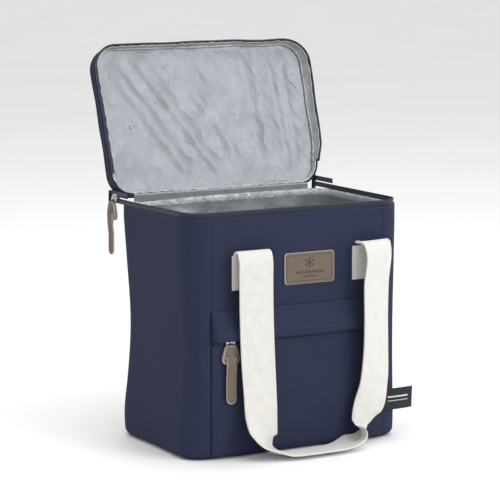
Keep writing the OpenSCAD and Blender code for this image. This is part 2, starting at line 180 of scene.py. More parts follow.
def plateParts(rim, thickness, edge, place):
    # A plate inside a closed outline: its face, its rounded edge and its back. Scaling the outline
    # towards its middle gives the rings of the face, and place(a, b, height) puts it in space
    middle = rim.mean(0)
    size = np.linalg.norm(rim - middle, axis=1).mean()
    inset = 1 - edge / size
    turn = np.linspace(0, math.pi / 2, 5)
    shoulder = (inset + (1 - inset) * np.sin(turn), thickness - edge + edge * np.cos(turn))
    foot = (shoulder[0][::-1], thickness - shoulder[1][::-1])
    faceShare = np.linspace(0, inset, 9)
    rows = [(faceShare, thickness + 0 * faceShare),
            (np.concatenate([shoulder[0], foot[0]]), np.concatenate([shoulder[1], foot[1]])),
            (faceShare[::-1], 0 * faceShare)]
    parts = []
    for share, height in rows:
        flat = middle + (rim - middle)[:, None] * share[None, :, None]
        a, b = flat[..., 0], flat[..., 1]
        parts.append(gridPart(place(a, b, height[None] + 0 * a), closedU=True))
    return parts


def distances(path):
    # How far along a polyline each of its points lies
    return np.concatenate([[0], np.cumsum(np.linalg.norm(np.diff(path, axis=0), axis=1))])


def alongRim(rim, count):
    # The same closed outline with evenly spaced points
    loop = np.concatenate([rim, rim[:1]])
    gone = distances(loop)
    at = np.linspace(0, gone[-1], count, endpoint=False)
    return np.stack([np.interp(at, gone, loop[:, k]) for k in (0, 1)], -1)


def roundedRim(halfWidth, halfHeight, radius, count=16):
    # A rectangle with rounded corners, as one closed outline
    turn = np.linspace(0, math.pi / 2, count)
    corners = []
    for k, (a, b) in enumerate([(1, 1), (-1, 1), (-1, -1), (1, -1)]):
        angle = turn + k * math.pi / 2
        corners.append(np.stack([a * (halfWidth - radius) + radius * np.cos(angle),
                                 b * (halfHeight - radius) + radius * np.sin(angle)], -1))
    return alongRim(np.concatenate(corners), 8 * count)


def beads(centres, along, across, half, sides=6):
    # One small rounded block for each centre: rings whose radius rises from nothing and falls again
    upright = np.cross(across, along)
    station = np.array([-1, -0.85, -0.5, 0.5, 0.85, 1])
    radius = np.array([0, 0.7, 1, 1, 0.7, 0])
    ring = np.linspace(0, tau, sides, endpoint=False)
    spread = radius[:, None] * np.stack([np.cos(ring) * half[1], np.sin(ring) * half[2]])[:, None, :]
    points = (centres[:, None, None] + station[None, :, None, None] * half[0] * along[:, None, None]
              + spread[0][None, ..., None] * across[:, None, None]
              + spread[1][None, ..., None] * upright[:, None, None])
    i = np.arange(len(station) - 1)[:, None] * sides
    j = np.arange(sides)[None, :]
    jNext = (j + 1) % sides
    one = np.stack([i + j, i + jNext, i + sides + jNext, i + sides + j], -1).reshape(-1, 4)
    faces = (np.arange(len(centres)) * len(station) * sides)[:, None, None] + one[None]
    faces = faces.reshape(-1, 4)
    return [(points.reshape(-1, 3), faces, np.zeros((len(faces), 4, 2)))]


def alongPath(path, places, reach=0.5):
    # Points at given distances along a polyline, and its directions there, from a little behind each
    # point to a little ahead of it
    gone = distances(path)
    pick = lambda s: np.stack([np.interp(s, gone, path[:, k]) for k in range(3)], -1)
    ahead, behind = np.minimum(places + reach, gone[-1]), np.maximum(places - reach, 0)
    return pick(places), unit(pick(ahead) - pick(behind))


def stitchParts(path, out, length=2.8, pitch=3.8, width=0.3, height=0.25):
    # Stitches of one length, a pitch apart, lying along a path
    centres, along = alongPath(path, np.arange(pitch / 2, distances(path)[-1] - pitch / 3, pitch))
    across = unit(np.cross(np.broadcast_to(out, along.shape), along))
    return beads(centres, along, across, (length / 2, width, height))


def smoothPath(stations, spacing):
    # A cubic Hermite curve through the stations, whose slopes are central differences
    gone = distances(stations[:, :3])
    slopes = np.gradient(stations, gone, axis=0)
    at = np.linspace(0, gone[-1], int(gone[-1] / spacing))
    k = np.clip(np.searchsorted(gone, at, side="right") - 1, 0, len(gone) - 2)
    span = (gone[k + 1] - gone[k])[:, None]
    t = (at - gone[k])[:, None] / span
    return ((2 * t ** 3 - 3 * t ** 2 + 1) * stations[k] + (t ** 3 - 2 * t ** 2 + t) * span * slopes[k]
            + (3 * t ** 2 - 2 * t ** 3) * stations[k + 1] + (t ** 3 - t ** 2) * span * slopes[k + 1])


def makePiece(name, parts, materials, body, replaced=(), slots=None, sharp=50):
    # Joins the parts into one mesh in metres; slots gives each part's material number
    starts = np.cumsum([0] + [len(part[0]) for part in parts])
    points = np.concatenate([part[0] for part in parts]) * mm
    faces = np.concatenate([part[1] + start for part, start in zip(parts, starts)])
    corners = np.concatenate([part[2] for part in parts]) * mm
    slots = slots or [0] * len(parts)
    numbers = np.concatenate([np.full(len(part[1]), slot, np.int32) for part, slot in zip(parts, slots)])
    mesh = bpy.data.meshes.new(name)
    mesh.from_pydata(points.tolist(), [], faces.tolist())
    mesh.uv_layers.new(name="surface").data.foreach_set("uv", corners.astype(np.float32).ravel())
    mesh.polygons.foreach_set("material_index", numbers)
    for material in materials if isinstance(materials, list) else [materials]:
        mesh.materials.append(material)
    piece = bpy.data.objects.new(name, mesh)
    bpy.context.scene.collection.objects.link(piece)
    closeSeams(piece, sharp)
    if body:
        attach(piece, body)
    if body == "lid":
        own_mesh(piece)
    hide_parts(*replaced)
    return piece


def closeSeams(piece, sharp):
    # Merges doubled points at seams and poles, turns faces outwards, and shades smooth between sharp edges
    work = bmesh.new()
    work.from_mesh(piece.data)
    bmesh.ops.remove_doubles(work, verts=work.verts, dist=2e-6)
    bmesh.ops.dissolve_degenerate(work, edges=work.edges, dist=1e-7)
    bmesh.ops.recalc_face_normals(work, faces=work.faces)
    work.to_mesh(piece.data)
    work.free()
    piece.data.polygons.foreach_set("use_smooth", np.ones(len(piece.data.polygons), bool))
    piece.data.set_sharp_from_angle(angle=math.radians(sharp))


def bump(x, width):
    # A smooth hump, 1 in the middle and about 0 beyond twice its width
    return np.exp(-(x / width) ** 2)


def step(x, low, high):
    # 0 below low, 1 above high, and a smooth rise between
    t = np.clip((x - low) / (high - low), 0, 1)
    return t * t * (3 - 2 * t)


def ripples(u, v, seed, length, count=6):
    # Sine waves in seeded directions, whose lengths lie near one length, added up to about -1 to 1
    random = np.random.default_rng(seed)
    total = np.zeros(np.broadcast(u, v).shape)
    for _ in range(count):
        angle, phase = random.uniform(0, tau, 2)
        wave = length * random.uniform(0.6, 1.6)
        total += np.sin((u * math.cos(angle) + v * math.sin(angle)) * tau / wave + phase)
    return total / count ** 0.5


def crinkled(parts, amount, seed, length):
    # Each coordinate moved by ripples over the sum of it and the next one, and over the third
    moved = []
    for points, faces, corners in parts:
        x, y, z = points.T
        pairs = ((y + x, z), (z + y, x), (x + z, y))
        shift = np.stack([ripples(u, v, seed + k, length) for k, (u, v) in enumerate(pairs)], -1)
        moved.append((points + amount * shift, faces, corners))
    return moved


# Materials

def newMaterial(name):
    # An empty material, its node tree and its shader
    material = bpy.data.materials.new(name)
    material.use_nodes = True
    tree = material.node_tree
    return material, tree, tree.nodes["Principled BSDF"]


def feed(tree, node, inputs):
    # Links each input that is given a socket, and sets each that is given a value
    for key, value in inputs.items():
        if isinstance(value, bpy.types.NodeSocket):
            tree.links.new(value, node.inputs[key])
        else:
            node.inputs[key].default_value = value
    return node


def addNode(tree, kind, inputs=None, **settings):
    # A new node with its settings and inputs
    node = tree.nodes.new(kind)
    for key, value in settings.items():
        setattr(node, key, value)
    return feed(tree, node, inputs or {})


def places(tree, useUv, stretch=(1, 1, 1)):
    # The piece's own UV map in metres, or Object coordinates, stretched for a pattern
    source = addNode(tree, "ShaderNodeTexCoord").outputs["UV" if useUv else "Object"]
    mapping = addNode(tree, "ShaderNodeMapping", {"Vector": source, "Scale": stretch})
    return mapping.outputs["Vector"]


def threads(tree, direction, spacing, useUv=True):
    # Rounded threads a spacing apart, in millimetres, across one direction
    return addNode(tree, "ShaderNodeTexWave",
                   {"Vector": places(tree, useUv), "Scale": 0.314 / (spacing * mm),
                    "Distortion": 0.6, "Detail": 1.0, "Detail Scale": 0.5},
                   wave_type="BANDS", bands_direction=direction).outputs["Fac"]


def cloud(tree, size, useUv=True, detail=4.0, stretch=(1, 1, 1), rough=0.6):
    # Soft noise whose blotches are about a size across, in millimetres
    return addNode(tree, "ShaderNodeTexNoise",
                   {"Vector": places(tree, useUv, stretch), "Scale": 1 / (size * mm),
                    "Detail": detail, "Roughness": rough}).outputs["Fac"]


def combine(tree, operation, *values):
    # One operation on two or three values
    return addNode(tree, "ShaderNodeMath", dict(enumerate(values)), operation=operation).outputs[0]


def cracks(tree, size, stretch=(1, 1, 1), finer=1.0):
    # Distance to the nearest edge of a random cell, where cells are about a size across, in millimetres
    inputs = {"Vector": places(tree, False, stretch), "Scale": finer / (size * mm)}
    return addNode(tree, "ShaderNodeTexVoronoi", inputs, feature="DISTANCE_TO_EDGE").outputs["Distance"]


def cells(tree, size):
    # Distance to the nearest random point, where points are about a size apart, in millimetres
    inputs = {"Vector": places(tree, False), "Scale": 1 / (size * mm)}
    return addNode(tree, "ShaderNodeTexVoronoi", inputs).outputs["Distance"]


def colourBetween(tree, factor, dark, light):
    # A ramp over the middle of a noise's range, from dark to light
    ramp = addNode(tree, "ShaderNodeValToRGB", {"Fac": factor})
    for element, position, colour in zip(ramp.color_ramp.elements, (0.3, 0.7), (dark, light)):
        element.position = position
        element.color = (*colour, 1)
    return ramp.outputs["Color"]


def blendColours(tree, factor, first, second):
    # The first colour where the factor is 0 and the second where it is 1
    return addNode(tree, "ShaderNodeMix", {0: factor, 6: first, 7: second}, data_type="RGBA").outputs[2]


def relief(tree, shader, height, strength, distance):
    # Turns a height into shading, with distance in millimetres
    inputs = {"Height": height, "Strength": strength, "Distance": distance * mm}
    feed(tree, shader, {"Normal": addNode(tree, "ShaderNodeBump", inputs).outputs["Normal"]})


def rampBetween(tree, factor, low, high):
    # low where the factor is 0, and high where it is 1
    return addNode(tree, "ShaderNodeMapRange", {"Value": factor, "To Min": low, "To Max": high}).outputs[0]


def clothMaterial(name, dark, light, warp, weft, rough, sheen, depth, blotch, useUv=True):
    # Plain weave: the higher of two sets of crossing threads, over a slow change of shade, with a painted
    # highlight that makes the raised threads lighter
    material, tree, shader = newMaterial(name)
    over = combine(tree, "MAXIMUM", threads(tree, "X", warp, useUv), threads(tree, "Y", weft, useUv))
    shade = combine(tree, "MULTIPLY_ADD", cloud(tree, blotch, useUv, detail=6), over, 0.5)
    base = colourBetween(tree, cloud(tree, blotch, useUv, detail=8, rough=0.75), dark, light)
    # painted highlight: where the threads rise, the colour is blended towards one lighter than the cloth's
    # lightest
    highlightAndGrain = blendColours(tree, rampBetween(tree, over, 0.0, 0.35), base, (*[c * 1.35 for c in light], 1))
    feed(tree, shader, {"Base Color": highlightAndGrain, "Roughness": rampBetween(tree, shade, rough - 0.08, rough + 0.08),
                        "Sheen Weight": sheen, "Specular IOR Level": 0.25, "Sheen Roughness": 0.45})
    relief(tree, shader, over, 0.6, depth)
    return material


def silverFilm(name, scale, strength, dark, light):
    # Aluminised film: satin, slightly blue, with fine creases over soft ones
    material, tree, shader = newMaterial(name)
    ridge = combine(tree, "MINIMUM", cracks(tree, scale), 0.22)
    fineRidge = combine(tree, "MINIMUM", cracks(tree, scale, (1, 1, 0.6), 2.7), 0.18)
    height = combine(tree, "ADD", combine(tree, "MULTIPLY", ridge, 1.6), fineRidge)
    height = combine(tree, "ADD", height, combine(tree, "MULTIPLY", cloud(tree, 16, False, 5), 0.8))
    tone = colourBetween(tree, cloud(tree, 30, False, 5), dark, light)
    rough = rampBetween(tree, cloud(tree, 6, False, 3), 0.36, 0.52)
    feed(tree, shader, {"Base Color": tone, "Roughness": rough, "Metallic": 0.4})
    relief(tree, shader, height, strength, 1.0)
    return material


def webbingCloth():
    # Ribs along the webbing with fine threads across each one, and painted shade in the low places between
    # them
    material, tree, shader = newMaterial("webbing")
    ribs = threads(tree, "Y", 1.9)
    cross = threads(tree, "X", 1.1)
    height = combine(tree, "ADD", ribs, combine(tree, "MULTIPLY", cross, 0.55))
    base = colourBetween(tree, cloud(tree, 9, detail=7, rough=0.7), (0.60, 0.585, 0.55), (0.70, 0.685, 0.65))
    # painted shade: the low places between ribs and threads are blended towards a darker colour
    dark = blendColours(tree, rampBetween(tree, height, 0.22, 0.0), base, (0.44, 0.42, 0.38, 1))
    feed(tree, shader, {"Base Color": dark, "Roughness": 0.86, "Sheen Weight": 0.35})
    relief(tree, shader, height, 0.75, 0.22)
    return material


def leatherHide(name, dark, light, grain=1.1):
    # Small cells under a fine grain, darker towards the cells' edges, over a slow change of shade
    material, tree, shader = newMaterial(name)
    pores = combine(tree, "ADD", cells(tree, grain), cloud(tree, 0.9, False, 6, rough=0.7))
    base = colourBetween(tree, cloud(tree, 5, False, 8, rough=0.7), dark, light)
    highlightAndGrain = blendColours(tree, rampBetween(tree, pores, 0.0, 0.3), base, (*[c * 0.75 for c in dark], 1))
    feed(tree, shader, {"Base Color": highlightAndGrain, "Roughness": rampBetween(tree, pores, 0.5, 0.72)})
    relief(tree, shader, pores, 0.35, 0.12)
    return material


def metalFinish():
    # Fine scratches, which are noise stretched along one direction
    material, tree, shader = newMaterial("steel")
    scratches = cloud(tree, 1.2, False, 6, (1, 8, 1), 0.8)
    feed(tree, shader, {"Base Color": colourBetween(tree, scratches, (0.50, 0.50, 0.51), (0.66, 0.66, 0.67)),
                        "Roughness": rampBetween(tree, scratches, 0.22, 0.42), "Metallic": 1.0})
    relief(tree, shader, scratches, 0.1, 0.05)
    return material


def mouldedPlastic(name, dark, light, rough):
    # A slow change of shade under a fine grain
    material, tree, shader = newMaterial(name)
    tone = colourBetween(tree, cloud(tree, 2.5, False, 6), dark, light)
    grain = rampBetween(tree, cloud(tree, 0.8, False, 4), rough - 0.08, rough + 0.1)
    feed(tree, shader, {"Base Color": tone, "Roughness": grain})
    relief(tree, shader, cloud(tree, 0.6, False, 4), 0.2, 0.05)
    return material


def foamCells():
    # Small cells, lighter in their middles
    material, tree, shader = newMaterial("foam")
    bubble = cells(tree, 1.4)
    tone = colourBetween(tree, bubble, (0.84, 0.84, 0.82), (0.68, 0.68, 0.66))
    feed(tree, shader, {"Base Color": tone, "Roughness": 0.9})
    relief(tree, shader, bubble, 0.4, 0.3)
    return material


# a cloth's colours, thread spacings, roughness, sheen, relief in mm, size of its blotches, and UV or not
canvas = clothMaterial("navy_canvas", (0.0135, 0.0175, 0.041), (0.0185, 0.0235, 0.052),
                       0.62, 0.7, 0.82, 0.0, 0.10, 14)
film = silverFilm("silver_lining", 9, 0.2, (0.195, 0.213, 0.229), (0.235, 0.254, 0.271))
crinkledFilm = silverFilm("crinkled_lining", 4.2, 0.8, (0.33, 0.35, 0.37), (0.50, 0.52, 0.54))
webbing = webbingCloth()
leather = leatherHide("leather", (0.118, 0.088, 0.064), (0.155, 0.120, 0.090))
cutLeather = leatherHide("leather_edge", (0.50, 0.45, 0.40), (0.62, 0.57, 0.52), 0.6)
# dark leather thread for stitches and the emblem, also used for the painted shadow in the pull's slit
leatherThreadAndShadow = mouldedPlastic("leather_thread", (0.020, 0.015, 0.012), (0.034, 0.026, 0.020), 0.7)
steel = metalFinish()
zipCloth = clothMaterial("zip_tape", (0.012, 0.014, 0.026), (0.022, 0.026, 0.045),
                         0.5, 0.9, 0.78, 0.3, 0.12, 6)
coil = mouldedPlastic("zip_teeth", (0.010, 0.012, 0.022), (0.022, 0.025, 0.042), 0.45)
thread = clothMaterial("thread", (0.62, 0.60, 0.55), (0.74, 0.72, 0.67),
                       0.3, 0.5, 0.8, 0.3, 0.06, 2, False)
navyThread = clothMaterial("navy_thread", (0.018, 0.021, 0.045), (0.03, 0.034, 0.068),
                           0.3, 0.5, 0.75, 0.3, 0.06, 2, False)
label = clothMaterial("black_label", (0.006, 0.009, 0.013), (0.012, 0.016, 0.022),
                      0.35, 0.35, 0.55, 0.2, 0.05, 4)
labelThread = clothMaterial("label_thread", (0.42, 0.43, 0.44), (0.58, 0.59, 0.60),
                            0.3, 0.3, 0.6, 0.2, 0.05, 2, False)
foam = foamCells()
boardPlastic = mouldedPlastic("board", (0.16, 0.16, 0.165), (0.22, 0.22, 0.225), 0.6)
print("materials made")


# The bag's wall

straightX = halfW - bag["cornerRadius"]
straightY = halfD - bag["cornerRadius"]
quarter = bag["cornerRadius"] * math.pi / 2
# arc length round the outline from the middle of the front, to the right and to the left
cornerArcs = np.cumsum([0, straightX, quarter, 2 * straightY, quarter, straightX])
arcStops = np.concatenate([-cornerArcs[:0:-1], cornerArcs])
arcAngles = np.radians([-180, -180, -90, -90, 0, 0, 0, 90, 90, 180, 180])
coreX = np.array([0, -1, -1, -1, -1, 0, 1, 1, 1, 1, 0]) * straightX
coreY = np.array([1, 1, 1, -1, -1, -1, -1, -1, 1, 1, 1]) * straightY
girth = 2 * cornerArcs[-1]
everyArc = (-girth / 2, girth / 2)
sideArc = cornerArcs[3]           # where the straight part of a side ends at the rear


def outline(arc):
    # Core rectangle plus a corner radius along the outward normal, which turns at the corners
    arc = (np.asarray(arc, float) + girth / 2) % girth - girth / 2
    angle = np.interp(arc, arcStops, arcAngles)
    normal = np.stack([np.sin(angle), -np.cos(angle)], -1)
    core = np.stack([np.interp(arc, arcStops, coreX), np.interp(arc, arcStops, coreY)], -1)
    return core, normal


def softness(arc, z, normal):
    # How far the soft wall stands out: drawn in at the waist, full above the floor, spread below the mouth
    h = z / mouthZ
    left, right = np.clip(-normal[..., 0], 0, 1) ** 2, np.clip(normal[..., 0], 0, 1) ** 2
    back, front = np.clip(normal[..., 1], 0, 1) ** 2, np.clip(-normal[..., 1], 0, 1) ** 2
    side = -bag["waist"] * bump(h - 0.46, 0.25) + bag["hips"] * bump(h - 0.10, 0.10)
    lip = bag["lip"] * bump(h - 0.93, 0.09)
    out = left * (side + 0.3 * lip) + right * (0.3 * side + 0.2 * lip) + back * (0.6 * side + 0.6 * lip)
    out = out + front * (0.7 * bump(h - 0.5, 0.3) - 0.4)
    wave = ripples(arc, z * 0.8, 4, 95) * (1 - 0.7 * front)
    return (out + bag["ripple"] * wave) * step(mouthZ - z, 1, 12)


def wallPoints(arc, z, depth):
    # A point of the wall: the outline pushed out by the softness and in by the depth
    core, normal = outline(arc)
    reach = bag["cornerRadius"] - depth + softness(arc, z, normal)
    flat = core + reach[..., None] * normal
    return np.concatenate([flat, (z + 0 * reach)[..., None]], -1)


def onFront(x, z, out):
    # A place on the soft front panel, lifted off it
    x, z, out = np.broadcast_arrays(np.asarray(x, float), np.asarray(z, float), np.asarray(out, float))
    wall = wallPoints(np.clip(x, -straightX, straightX), z, 0 * x)
    bend = np.maximum(np.abs(x) - straightX, 0)
    curve = bag["cornerRadius"] - np.sqrt(np.maximum(bag["cornerRadius"] ** 2 - bend ** 2, 1))
    return np.stack([x, wall[..., 1] + curve - out, z], -1)


def arcAtX(x, rear):
    # The arc length where a seam at this x meets the front or the rear of the outline
    over = max(0, abs(x) - straightX)
    arc = min(abs(x), straightX) + math.asin(over / bag["cornerRadius"]) * bag["cornerRadius"]
    return math.copysign(girth / 2 - arc if rear else arc, x)


def rimDroop(arc):
    # The mouth sags towards the left rear corner
    return bag["droop"] * step(-arc, straightX + quarter, sideArc) * step(girth / 2 + arc, 0, straightX)


def wallSheet(arcs, columns, top, depth, rows=70, dip=0.0):
    # The wall between two arc lengths: its foot rolls under in a quarter circle about a fixed centre,
    # and its side edges dip at the seams
    radius = bag["underRadius"]
    roll = np.linspace(0, math.pi / 2, 9)[:-1]
    arc = np.linspace(*arcs, columns)[:, None]
    flat = np.zeros((columns, 1))
    z = np.concatenate([radius - (radius - depth) * np.cos(roll) + flat,
                        radius + (top - rimDroop(arc) - radius) * np.linspace(0, 1, rows)], 1)
    inset = np.concatenate([radius - (radius - depth) * np.sin(roll) + flat,
                            depth + np.zeros((columns, rows))], 1)
    seam = np.minimum(arc - arcs[0], arcs[1] - arc)
    return wallPoints(arc + 0 * z, z, inset + dip * bump(seam, 1.6))


seamGap = 0.12
wallArcs = {
    "front": (arcAtX(frontSeams[0], False), arcAtX(frontSeams[1], False)),
    "right": (arcAtX(frontSeams[1], False), arcAtX(backSeams[1], True)),
    "back": (arcAtX(backSeams[1], True), girth + arcAtX(backSeams[0], True)),
    "left": (arcAtX(backSeams[0], True), arcAtX(frontSeams[0], False)),
}
linerDepth = bag["fabric"] + bag["foam"] + 0.3


def linerSheet(arcs, columns, depth, rows=60):
    # The lining hangs a little loose between its seams, in long creases and small ones
    low, high = span("liner_front", 2)
    arc = np.linspace(*arcs, columns)[:, None]
    z = low + (high - rimDroop(arc) - low) * np.linspace(0, 1, rows)[None, :]
    loose = step(np.minimum(arc - arcs[0], arcs[1] - arc), 0, 14)
    loose = loose * step(z, low, low + 20) * step(high - z, 0, 20)
    crease = np.abs(ripples(arc, z * 0.5, 21, 60)) * 1.5 + ripples(arc, z, 22, 30) * 0.4
    return wallPoints(arc + 0 * z, z, depth + loose * crease)


for side, arcs in wallArcs.items():
    inset = (arcs[0] + seamGap, arcs[1] - seamGap)
    columns = int((arcs[1] - arcs[0]) / 1.6)
    inner = bag["fabric"] + 0.1
    panel = makePiece(f"{side}Panel", shellParts(wallSheet(inset, columns, panelTop, 0, dip=0.6),
                                                 wallSheet(inset, columns, panelTop, bag["fabric"], dip=0.6)),
                      canvas, "bag", [f"outer_{side}"])
    pad = makePiece(f"{side}Foam", shellParts(wallSheet(inset, 60, panelTop - 6, inner, 40),
                                              wallSheet(inset, 60, panelTop - 6, inner + bag["foam"], 40)),
                    foam, "bag", [f"foam_{side}"])
    cloth = makePiece(f"{side}Lining", shellParts(linerSheet(inset, columns, linerDepth),
                                                  linerSheet(inset, columns, linerDepth + bag["lining"])),
                      film, "bag", [f"liner_{side}"])


def roundPlate(name, inset, node, material):
    # A flat plate with the bag's outline taken in by an inset, drawn as rings from its middle
    low, high = span(node, 2)
    core, normal = outline(np.linspace(*everyArc, 240, endpoint=False))
    rim = core + (bag["cornerRadius"] - inset) * normal
    share = np.array([0, 0.5, 0.9, 1.0, 1.0, 0.9, 0.5, 0])
    level = np.repeat([low, high], 4)
    flat = rim[:, None] * share[None, :, None]
    points = np.concatenate([flat, np.broadcast_to(level[None, :, None], flat.shape[:2] + (1,))], -1)
    return makePiece(name, [gridPart(points, closedU=True)], material, "bag", [node])


underside = roundPlate("basePanel", bag["underRadius"], "outer_base", canvas)
roundPlate("baseBoard", 7.5, "base_board", boardPlastic)
roundPlate("baseFoam", 7, "foam_base", foam)
floorLining = roundPlate("floorLining", linerDepth + 0.8, "liner_floor", film)
print("walls made")


# The mouth: hem, zip and tails

zipReach = sideArc + span("zip_tail_left", 1)[1] - straightY
zipDepth = {"tape": 1.2, "chain": 1.5, "toothPitch": 1.5, "toothHalf": (0.5, 0.95, 0.95)}


def zipLine(arc, z, depth):
    # The mouth's outline on three sides, carried straight back past the rear corners
    held = np.clip(arc, -sideArc, sideArc)
    points = wallPoints(held, z, depth)
    points[..., 1] += np.abs(arc - held)
    return points


def rimStrip(arcs, columns, levels, depths, thickness, shape=wallPoints, closed=False, droop=1.0):
    # A strip along the mouth, whose upright section is given as levels and depths from bottom to top
    arc = np.linspace(*arcs, columns, endpoint=not closed)[:, None]
    z = np.array(levels, float)[None, :] - droop * rimDroop(arc) + 0 * arc
    depth = np.array(depths, float)[None, :] + 0 * z
    return shellParts(shape(arc + 0 * z, z, depth), shape(arc + 0 * z, z, depth + thickness), closed)


def chainParts(arcs, z, shape, droop=1.0):
    # A core cord with one rounded tooth a pitch apart along it
    dense = np.linspace(*arcs, 400)
    centres = shape(dense, z - droop * rimDroop(dense), zipDepth["chain"] + 0 * dense)
    along = unit(np.gradient(centres, axis=0))
    across = unit(np.cross(along, upwards))
    cord = bandParts(centres, across, np.cross(across, along), roundProfile(0.7, 0.7, count=8))
    spots, ahead = alongPath(centres, np.arange(0.8, distances(centres)[-1] - 0.5, zipDepth["toothPitch"]))
    return cord + beads(spots, ahead, unit(np.cross(ahead, upwards)), zipDepth["toothHalf"])


hemLow, hemHigh = span("mouth_hem", 2)
hem = rimStrip(everyArc, 720, [hemLow - 2, hemLow, hemLow + 3, hemHigh - 0.4, hemHigh + 0.2],
               [4.6, 4.9, 4.6, 3.6, 2.2], 0.9, closed=True)
makePiece("mouthHem", crinkled(hem, 0.18, 40, 7), crinkledFilm, "bag", ["mouth_hem"])
mouthTape = rimStrip((-sideArc, sideArc), 420, [panelTop - 5, panelTop - 1, panelTop + 1, mouthZ - 2.4],
                     [1.15, 1.1, 0.9, 1.2], 0.6, zipLine)
for side in (-1, 1):
    tail = sorted((side * (sideArc - 0.5), side * zipReach))
    mouthTape += rimStrip(tail, 30, [panelTop + 0.2, panelTop + 1, mouthZ - 2.4], [1.15, 0.9, 1.2], 0.6,
                          zipLine)
makePiece("mouthTape", mouthTape, zipCloth, "bag", ["mouth_zip_tape"])
makePiece("mouthTeeth", chainParts((-zipReach, zipReach), mouthZ - 1.5, zipLine), coil, "bag",
          ["mouth_zip_teeth"])


rimArc = np.linspace(*everyArc, 700)
rimLine = wallPoints(rimArc, panelTop - 2.2 - rimDroop(rimArc), -0.08 + 0 * rimArc)
centres, along = alongPath(rimLine, np.arange(1.5, distances(rimLine)[-1] - 1, 3.6))
rimStitches = beads(centres, along, np.broadcast_to(upwards, along.shape), (1.3, 0.26, 0.22))
makePiece("rimStitching", rimStitches, navyThread, "bag")

for side, name in ((-1, "left"), (1, "right")):
    reach = sorted((side * (sideArc + 2), side * zipReach))
    tape = rimStrip(reach, 30, [mouthZ + 2.4, mouthZ + 4, mouthZ + 5.8], [1.2, 1.15, 1.2], 0.6, zipLine)
    teeth = chainParts(reach, mouthZ + 1.5, zipLine)
    makePiece(f"{name}ZipTail", tape + teeth, [zipCloth, coil], "bag", [f"zip_tail_{name}"],
              slots=[0] * len(tape) + [1] * len(teeth))
    low, high = boxOf(f"zip_tab_{name}")
    middle = (low + high) / 2
    height = np.linspace(high[2] - rimDroop(side * sideArc), low[2] + 3, 26)
    centres = np.stack([0 * height + middle[0], middle[1] + 0.5 * np.sin(height / 9), height], -1)
    wide, out = np.tile([1.0, 0, 0], (26, 1)), np.tile([0, 1.0, 0], (26, 1))
    makePiece(f"{name}ZipTab", bandParts(centres, wide, out, roundProfile(2.4, 0.9, 0.4, 24)), canvas, "bag",
              [f"zip_tab_{name}"])
print("mouth made")


# The lid, shaped closed and then turned open about its hinge line

lid = {
    "height": 17,
    "spread": 3.5,           # how far its open edge flares
    "rightSpread": 8.0,      # how far its right side leans out when it stands open
    "foldHeight": 1.1,       # the folds of its lining
    # each slanting fold's height, where it starts and ends along x, and its width
    "slantingFolds": ((1.0, -108, -30, 7), (-0.8, -92, -8, 9), (0.9, -72, 8, 7), (-0.6, -45, 20, 10),
                      (0.6, -12, 34, 6)),
    # each upright fold's height, place along x, lean and width
    "uprightFolds": ((0.9, 52, 6, 7), (-0.7, 68, 4, 6), (1.0, 84, 8, 6), (0.7, 101, 2, 5)),
}


def openLid(points):
    # Turned about the hinge line at the top of the back, by the angle at which it stands open
    y, z = points[..., 1] - halfD, points[..., 2] - mouthZ
    return np.stack([points[..., 0], halfD + y * math.cos(lidOpen) + z * math.sin(lidOpen),
                     mouthZ - y * math.sin(lidOpen) + z * math.cos(lidOpen)], -1)


def openParts(parts):
    # The same parts turned open
    return [(openLid(points), faces, corners) for points, faces, corners in parts]


def lidPoints(arc, z, depth):
    # The bag's outline above the zip line, spread more the nearer it is to the free edge and the lid's mouth
    core, normal = outline(arc)
    free = step(halfD - core[..., 1] - bag["cornerRadius"] * normal[..., 1], 0, 2 * halfD)
    right = np.clip(normal[..., 0], 0, 1) ** 2
    opened = 1 - step(z, mouthZ - 2, mouthZ + lid["height"]) * 0.85
    flare = (lid["spread"] * free + lid["rightSpread"] * right * step(free, 0, 0.2)) * opened
    wave = 0.45 * ripples(arc, 3 * z, 8, 70) * step(free, 0, 0.3)
    reach = bag["cornerRadius"] - depth + flare + wave
    flat = core + reach[..., None] * normal
    return np.concatenate([flat, (z + 0 * reach)[..., None]], -1)


def lidZipLine(arc, z, depth):
    # The lid's outline on its three zipped sides
    return lidPoints(np.clip(arc, -sideArc, sideArc), z, depth)


def lidPlate(name, inset, low, high, material, node, lumps, rows=60, around=480):
    # A plate across the lid: rings from the middle to the rim, with lumps on its lower face
    arc = np.linspace(*everyArc, around, endpoint=False)
    rim = lidPoints(arc, low + 0 * arc, inset + 0 * arc)[:, None, :2]
    share = np.linspace(0, 1, rows)[None, :, None] ** 0.8
    flat = rim * share
    edge = 1 - step(share[..., 0], 0.93, 1.0)
    shape = lumps(flat[..., 0], flat[..., 1]) * edge
    under = np.concatenate([flat, (low - shape)[..., None]], -1)
    over = np.concatenate([flat, (high + 0 * shape)[..., None]], -1)
    points = np.concatenate([under, over[:, ::-1]], 1)
    return makePiece(name, openParts([gridPart(points, closedU=True)]), material, "lid", [node])


def fold(x, y, startX, startY, endX, endY, width):
    # A ridge along a line between two places, which fades at its ends
    length = math.hypot(endX - startX, endY - startY)
    alongX, alongY = (endX - startX) / length, (endY - startY) / length
    along = (x - startX) * alongX + (y - startY) * alongY
    across = (x - startX) * alongY - (y - startY) * alongX
    return bump(across, width) * step(along, -8, 18) * (1 - step(along, length - 22, length + 6))


def lidFolds(x, y):
    # Slack from the top left to the middle of the hinge, upright folds at the right, and fine creases
    slanting = sum(height * fold(x, y, start, -66, end, 62, width)
                   for height, start, end, width in lid["slantingFolds"])
    upright = sum(height * fold(x, y, place, -68, place + lean, 60, width)
                  for height, place, lean, width in lid["uprightFolds"])
    fine = 0.45 * ripples(x, y, 12, 48) + 0.16 * ripples(x, y, 13, 15)
    return lid["foldHeight"] * (slanting + upright) + fine


def noLumps(x, y):
    # A flat face: 0 everywhere
    return 0 * (x + y)


